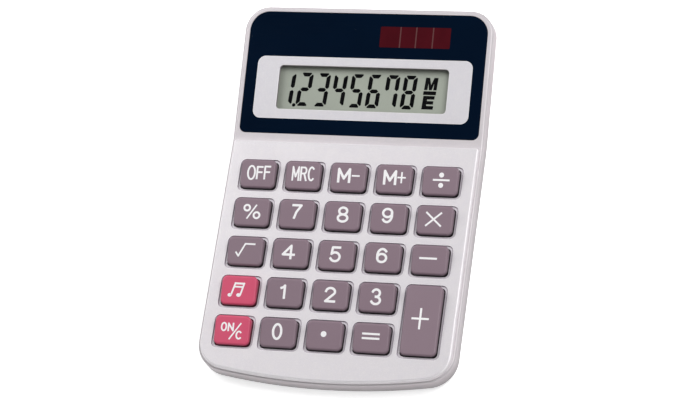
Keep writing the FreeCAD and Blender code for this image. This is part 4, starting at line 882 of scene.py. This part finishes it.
@dataclass
class Legends:
    """White signs printed on the key tops.

    Args:
        finishes: The calculator's finishes.
        depth: How far the print goes into the key, in millimetres.
        height: How far it stands up, in millimetres.
        layer: How far one stroke lies over the last, in millimetres.
        corner: Angle from which a corner is sharp, in degrees.
        miter: Least cosine that widens a bend.
    """

    finishes: Finishes
    depth: float = 0.03
    height: float = 0.02
    layer: float = 0.001
    corner: float = 50.0
    miter: float = 0.6

    def band(
        self, shape: Shape, points: list[Vector], pen: float, closed: bool, top: float, free: list[bool]
    ) -> None:
        """Adds a flat band along a stroke to a shape.

        Args:
            shape: The shape that it goes into.
            points: Middle of the band.
            pen: Width of the band.
            closed: Whether the last point joins the first.
            top: Height of the band's upper side.
            free: Whether the first and the last point are the stroke's own ends.
        """
        ways = [(after - before).normalized() for before, after in zip(points, points[1:] + points[:1])]
        last = len(points) - 1
        rows = []
        for place, point in enumerate(points):
            into = ways[place - 1] if place or closed else ways[0]
            out = ways[place] if place < last or closed else ways[place - 1]
            along = (into + out).normalized()
            side = Vector((-along.y, along.x)) * (pen / 2 / max(along.dot(into), self.miter))
            if not closed and place in (0, last) and free[place > 0]:
                point = point + along * (pen / 2 if place else -pen / 2)
            sides = (point + side, point - side)
            rows.append([shape.verts.new((*edge, z)) for edge in sides for z in (top, -self.depth)])
        for one, two in zip(rows, rows[1:] + (rows[:1] if closed else [])):
            for a, b in ((0, 2), (2, 3), (3, 1), (1, 0)):
                shape.faces.new((one[a], one[b], two[b], two[a]))
        if not closed:
            for row in (rows[0], rows[-1]):
                shape.faces.new((row[0], row[1], row[3], row[2]))

    def runs(self, points: list[Vector]) -> list[list[Vector]]:
        """Splits a stroke at its sharp corners.

        Args:
            points: The stroke.

        Returns:
            Its stretches, each of which starts where the last one ends.
        """
        parts = [points[:1]]
        for before, here, after in zip(points, points[1:], points[2:]):
            parts[-1].append(here)
            if (here - before).angle(after - here) > math.radians(self.corner):
                parts.append([here])
        parts[-1].append(points[-1])
        return parts

    def draw(self, signs: tuple[Sign, ...]) -> Shape:
        """Draws signs as flat bands along their strokes.

        Args:
            signs: The signs of one key.

        Returns:
            The shape, in millimetres, with 0, 0 at the key's centre.
        """
        shape = bmesh.new()
        top = self.height
        for sign in signs:
            middle = Vector((sign.x, sign.y))
            solid = sign.glyph is Glyph.DOT
            inset = 0 if solid else sign.pen
            across, along = max(sign.width - inset, 0), max(sign.height - inset, 0)
            for stroke in sign.glyph.value:
                points = [middle + Vector((x * across, y * along)) for x, y in stroke]
                closed = len(points) > 3 and (points[0] - points[-1]).length < 1e-4
                if solid:
                    plate(shape, points, -self.depth, top)
                    continue
                parts = [points[:-1]] if closed else self.runs(points)
                for part in parts:
                    self.band(shape, part, sign.pen, closed, top, [part is parts[0], part is parts[-1]])
                    top += self.layer
                for part in parts[1:]:
                    bend = ring(part[0].x, part[0].y, sign.pen / 2, sign.pen / 2)
                    plate(shape, bend[:-1], -self.depth, top)
                    top += self.layer
        return shape

    def face(self, key: str) -> Matrix:
        """Finds the sloping face on top of a key.

        Args:
            key: Name of the key.

        Returns:
            The face's place in metres, with its origin over the key's centre.
        """
        mesh = frame["nodes"][key].data
        upward = [face for face in mesh.polygons if face.normal.dot(DECK.normal()) > 0.95]
        widest = max(upward, key=lambda face: face.area)
        box = key_box(key)
        centre = DECK.matrix() @ Vector(((box[0].x + box[1].x) / 2, (box[0].y + box[1].y) / 2, 0))
        lift = (widest.center - centre).dot(widest.normal) / widest.normal.dot(DECK.normal())
        across = Vector((1, 0, 0))
        turn = Matrix((across, widest.normal.cross(across), widest.normal)).transposed()
        return Matrix.Translation(centre + DECK.normal() * lift) @ turn.to_4x4()

    def build(self) -> None:
        """Prints the legend of each key."""
        for key, signs in LEGENDS.items():
            piece = finish_mesh(f"legend_{key}", self.draw(signs), self.face(key))
            self.finishes.dress(piece, "legend_white")
            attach(piece, key)
            LOG.info("legend of %s: %d signs", key, len(signs))


@dataclass
class DisplayDigits:
    """Dark segments of the display: eight digits, a point and a column of three marks.

    Args:
        finishes: The calculator's finishes.
        first: Centre of the first digit, in millimetres.
        pitch: Distance from one digit to the next.
        middle: Height of the digits' middle on the head.
        half_width: From a digit's centre to its upright segments.
        half_height: From its middle to its top segment.
        bar: Thickness of a level segment.
        post: Thickness of an upright segment.
        gap: Gap between two segments.
        slant: Sideways lean, as a share of height.
        surface: Depth of the display's face under the head.
        ink: How far the segments stand on it.
        point: Centre of the decimal point.
        marks: Centres of the three marks, from the top.
        lit: Letters of each digit's dark segments.
    """

    finishes: Finishes
    first: float = -29.87
    pitch: float = 6.78
    middle: float = 20.62
    half_width: float = 1.84
    half_height: float = 5.8
    bar: float = 1.5
    post: float = 1.55
    gap: float = 0.11
    slant: float = 0.075
    surface: float = -2.65
    ink: float = 0.02
    point: Point = (-26.3, 14.4)
    marks: tuple[Point, ...] = ((25.65, 24.15), (25.6, 20.6), (25.65, 16.9))
    lit: tuple[str, ...] = ("bc", "abged", "abgcd", "fgbc", "afgcd", "afgcde", "fabc", "abcdefg")

    def segment(self, name: str) -> Stroke:
        """Returns the outline of one segment.

        Args:
            name: Letter of the segment, from a at the top, round to f, with g in the middle.

        Returns:
            Its corners round a digit's centre.
        """
        w, h, t, p, g = self.half_width, self.half_height, self.bar / 2, self.post / 2, self.gap
        bar = [(-w + g, 0), (-w + g + t, t), (w - g - t, t), (w - g, 0), (w - g - t, -t), (-w + g + t, -t)]
        cap = [(-w + 0.2, t), (w - 0.2, t), (w, t - 0.4)]
        cap += [(w - p - 0.1, -t), (-w + p + 0.1, -t), (-w, t - 0.4)]
        foot = g + 0.25
        post = [(0.35, h + 0.1), (p, h - 0.3), (p, foot + 0.6)]
        post += [(0.1, foot), (-p, foot + 0.6), (-p, h - t - g - 0.1)]
        shapes = {
            "a": [(x, h + y) for x, y in cap],
            "d": [(x, -h - y) for x, y in cap],
            "g": bar,
            "b": [(w + x, y) for x, y in post],
            "c": [(w + x, -y) for x, y in post],
            "f": [(-w - x, y) for x, y in post],
            "e": [(-w - x, -y) for x, y in post],
        }
        return shapes[name]

    def add(self, shape: Shape, outline: Stroke, x: float, y: float) -> None:
        """Adds a leaning plate round a centre to a shape."""
        leaning = [(x + a + (y + b - self.middle) * self.slant, y + b) for a, b in outline]
        plate(shape, leaning, 0, self.ink)

    def build(self) -> None:
        """Lays the segments on the display's face."""
        shape = bmesh.new()
        for place, letters in enumerate(self.lit):
            for letter in letters:
                self.add(shape, self.segment(letter), self.first + self.pitch * place, self.middle)
        self.add(shape, arc(0, 0, 0.7, 0.7, 0, 330, 11), *self.point)
        m = [(-2.4, -2.4), (-1.1, -2.4), (-1.1, 0.2), (-0.55, -2.4), (0.55, -2.4), (1.1, 0.2), (1.1, -2.4)]
        m += [(2.4, -2.4), (2.4, 2.4), (0.85, 2.4), (0, -0.4), (-0.85, 2.4), (-2.4, 2.4)]
        dash = [(-2.45, -0.725), (2.45, -0.725), (2.45, 0.725), (-2.45, 0.725)]
        e = [(-2.25, -2.6), (2.15, -2.6), (2.15, -1.25), (-0.6, -1.25), (-0.6, -0.65), (1.95, -0.65)]
        e += [(1.95, 0.65), (-0.6, 0.65), (-0.6, 1.25), (2.15, 1.25), (2.15, 2.6), (-2.25, 2.6)]
        for outline, centre in zip((m, dash, e), self.marks):
            self.add(shape, outline, *centre)
        place = HEAD.matrix() @ Matrix.Translation((0, 0, self.surface * MM))
        piece = finish_mesh("display_digits", shape, place)
        self.finishes.dress(piece, "display_dark")
        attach(piece, "case")
        LOG.info("display: %d digits", len(self.lit))


@dataclass
class SoftMat:
    """Rubber sheet under the keys, with one dome under each key's stem.

    Args:
        finishes: The calculator's finishes.
        bottom: Underside of the sheet, from the deck, in millimetres.
        top: Upper side of the sheet.
        half_width: From the middle to the sheet's side.
        corner: Radius of the sheet's corners.
        front: Front edge along the deck.
        rear: Rear edge along the deck.
        crown: Top of a dome.
        foot: Radius of a dome's foot.
        slope: Angle of a dome's wall from upright, in degrees.
        keep: Share of a dome's height left when its key is down; not used.
    """

    finishes: Finishes
    bottom: float = -6.0
    top: float = -5.4
    half_width: float = 43.2
    corner: float = 3.0
    front: float = -68.0
    rear: float = 7.6
    crown: float = -3.65
    foot: float = 3.5
    slope: float = 28.0
    keep: float = 0.31

    def sheet(self) -> bpy.types.Object:
        """Makes the flat sheet with rounded corners.

        Returns:
            The sheet.
        """
        shape = bmesh.new()
        bmesh.ops.create_cube(shape, size=1)
        size = (2 * self.half_width, self.rear - self.front, self.top - self.bottom)
        bmesh.ops.scale(shape, verts=shape.verts, vec=size)
        middle = (0, (self.rear + self.front) / 2, (self.top + self.bottom) / 2)
        bmesh.ops.translate(shape, verts=shape.verts, vec=middle)
        upright = [edge for edge in shape.edges if abs(edge.verts[0].co.z - edge.verts[1].co.z) > 0.1]
        round_off = {"offset": self.corner, "segments": 8, "profile": 0.5, "affect": "EDGES"}
        bmesh.ops.bevel(shape, geom=upright, material=-1, **round_off)
        return finish_mesh("key_mat_sheet", shape, DECK.matrix())

    def dome(self, key: str, centre: Vector) -> bpy.types.Object:
        """Spins one hollow dome.

        Args:
            key: Name of the key above it.
            centre: The key's centre on the deck, in millimetres.

        Returns:
            The dome.
        """
        rise = self.crown - self.top
        head = self.foot - rise * math.tan(math.radians(self.slope))
        outline = [(self.foot + 0.5, 0), (self.foot, 0.12), (head + 0.15, rise - 0.25)]
        outline += [(head - 0.2, rise), (0, rise)]
        shape = bmesh.new()
        chain = [shape.verts.new((x, 0, z)) for x, z in outline]
        edges = [shape.edges.new(pair) for pair in zip(chain, chain[1:])]
        turn = {"cent": (0, 0, 0), "axis": (0, 0, 1), "angle": math.tau, "steps": 28, "use_merge": True}
        bmesh.ops.spin(shape, geom=chain + edges, **turn)
        bmesh.ops.remove_doubles(shape, verts=shape.verts, dist=0.001)
        rims = [edge for edge in shape.edges if edge.is_boundary]
        bmesh.ops.contextual_create(shape, geom=rims)
        place = DECK.matrix() @ Matrix.Translation((centre.x * MM, centre.y * MM, self.top * MM))
        return finish_mesh(f"mat_dome_{key}", shape, place, True)

    def build(self) -> None:
        """Lays the sheet and sets a dome under each key."""
        sheet = self.sheet()
        self.finishes.dress(sheet, "mat_rubber")
        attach(sheet, "case")
        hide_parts("key_mat")
        for key in LEGENDS:
            low, high = key_box(key)
            centre = (low + high) / 2 / MM
            dome = self.dome(key, centre)
            self.finishes.dress(dome, "mat_rubber")
            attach(dome, "case")
            foot = DECK.point(centre.x, centre.y, self.top)
            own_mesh(dome)
        LOG.info("key mat: sheet and domes")


@dataclass
class Studio:
    """Pale floor, soft light and the camera.

    Args:
        span: Side of the floor, in metres.
        glow: Light that the floor adds for the camera, so that it shows white.
        room_light: Brightness of the even light on the calculator.
        lens: Focal length of the camera, in millimetres.
    """

    span: float = 12.0
    glow: float = 0.62
    room_light: float = 0.27
    lens: float = 127.788

    def floor(self) -> None:
        """Lays a pale floor that keeps the shadow."""
        shape = bmesh.new()
        bmesh.ops.create_grid(shape, x_segments=1, y_segments=1, size=self.span / 2 / MM)
        floor = finish_mesh("floor", shape, Matrix())
        graph = Graph("floor_pale")
        graph.paint(graph.blend(graph.noise(400, 2), (0.9, 0.9, 0.9), (0.93, 0.93, 0.93)))
        graph.fix(Roughness=0.9, Specular_IOR_Level=0.1)
        glow = graph.add("ShaderNodeEmission", {"Strength": self.glow})
        rays = graph.add("ShaderNodeLightPath")
        seen = graph.math("MAXIMUM", rays.outputs["Is Camera Ray"], rays.outputs["Is Glossy Ray"])
        seen = graph.math("MAXIMUM", seen, rays.outputs["Is Transmission Ray"])
        plain = graph.shader.outputs[0]
        both = graph.add("ShaderNodeAddShader", {0: plain, 1: glow.outputs[0]})
        mixed = graph.add("ShaderNodeMixShader", {0: seen, 1: plain, 2: both.outputs[0]})
        graph.join(mixed.outputs[0], graph.output.inputs["Surface"])
        floor.data.materials.append(graph.material)

    def world(self) -> None:
        """Fills the room with even light, and shows white to the camera."""
        world = bpy.data.worlds.new("room")
        bpy.context.scene.world = world
        world.use_nodes = True
        room = Nodes(world.node_tree)
        light = room.add("ShaderNodeBackground", {"Color": (1, 1, 1), "Strength": self.room_light})
        white = room.add("ShaderNodeBackground", {"Color": (1, 1, 1)})
        seen = room.add("ShaderNodeLightPath").outputs["Is Camera Ray"]
        mixed = room.add("ShaderNodeMixShader", {0: seen, 1: light.outputs[0], 2: white.outputs[0]})
        room.add("ShaderNodeOutputWorld", {0: mixed.outputs[0]})

    def lamp(self, name: str, place: Vector, size: float, power: float) -> None:
        """Hangs a soft lamp that points at the calculator.

        Args:
            name: Name of the lamp.
            place: Where it hangs, in metres.
            size: Side of the lamp, in metres.
            power: Its power, in watts.
        """
        data = bpy.data.lights.new(name, "AREA")
        data.size = size
        data.energy = power
        lamp = link(name, data)
        lamp.location = place
        lamp.rotation_euler = (-place).to_track_quat("-Z", "Y").to_euler()

    def camera(self) -> None:
        """Sets the camera at the photograph's angle."""
        data = bpy.data.cameras.new("camera")
        data.lens = self.lens
        data.sensor_width = 36
        data.clip_end = 50
        camera = link("camera", data)
        right = Vector((0.96295271, 0.15871111, -0.21822456))
        up = Vector((-0.04153935, 0.88629702, 0.46119043))
        back = Vector((0.26661895, -0.43503643, 0.86001874))
        turn = Matrix((right, up, back)).transposed()
        place = Vector((0.245917, -0.401592, 0.805054))
        camera.matrix_world = Matrix.Translation(place) @ turn.to_4x4()
        bpy.context.scene.camera = camera

    def build(self) -> None:
        """Sets up the floor, the light and the camera."""
        self.floor()
        self.world()
        self.lamp("key_lamp", Vector((-0.5, 0.3, 0.64)), size=0.6, power=3.4)
        self.lamp("top_lamp", Vector((0.46, 0.12, 0.8)), size=0.5, power=4.2)
        self.lamp("rim_lamp", Vector((0.98, 0.55, 1.06)), size=0.3, power=2)
        self.camera()
        bpy.context.scene.view_settings.view_transform = "Standard"
        LOG.info("studio: floor, three lamps, camera")


@dataclass
class Frame:
    """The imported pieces: case, keys, display and everything inside.

    Args:
        finishes: The calculator's finishes.
    """

    finishes: Finishes

    def build(self) -> None:
        """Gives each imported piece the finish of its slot."""
        for part in frame["record"]["subparts"]:
            self.finishes.dress(frame["nodes"][part["node"]], part["material_slot"])
            LOG.info("%s: %s", part["node"], part["material_slot"])
        self.finishes.dress(frame["nodes"]["upper_case"], "case_silver_shell")


def main() -> None:
    """Builds the calculator's looks, piece by piece."""
    logging.basicConfig(level=logging.INFO, format="%(name)s: %(message)s")
    finishes = Finishes()
    for piece in (Frame(finishes), Legends(finishes), DisplayDigits(finishes), SoftMat(finishes), Studio()):
        piece.build()


if __name__ == "__main__":
    main()
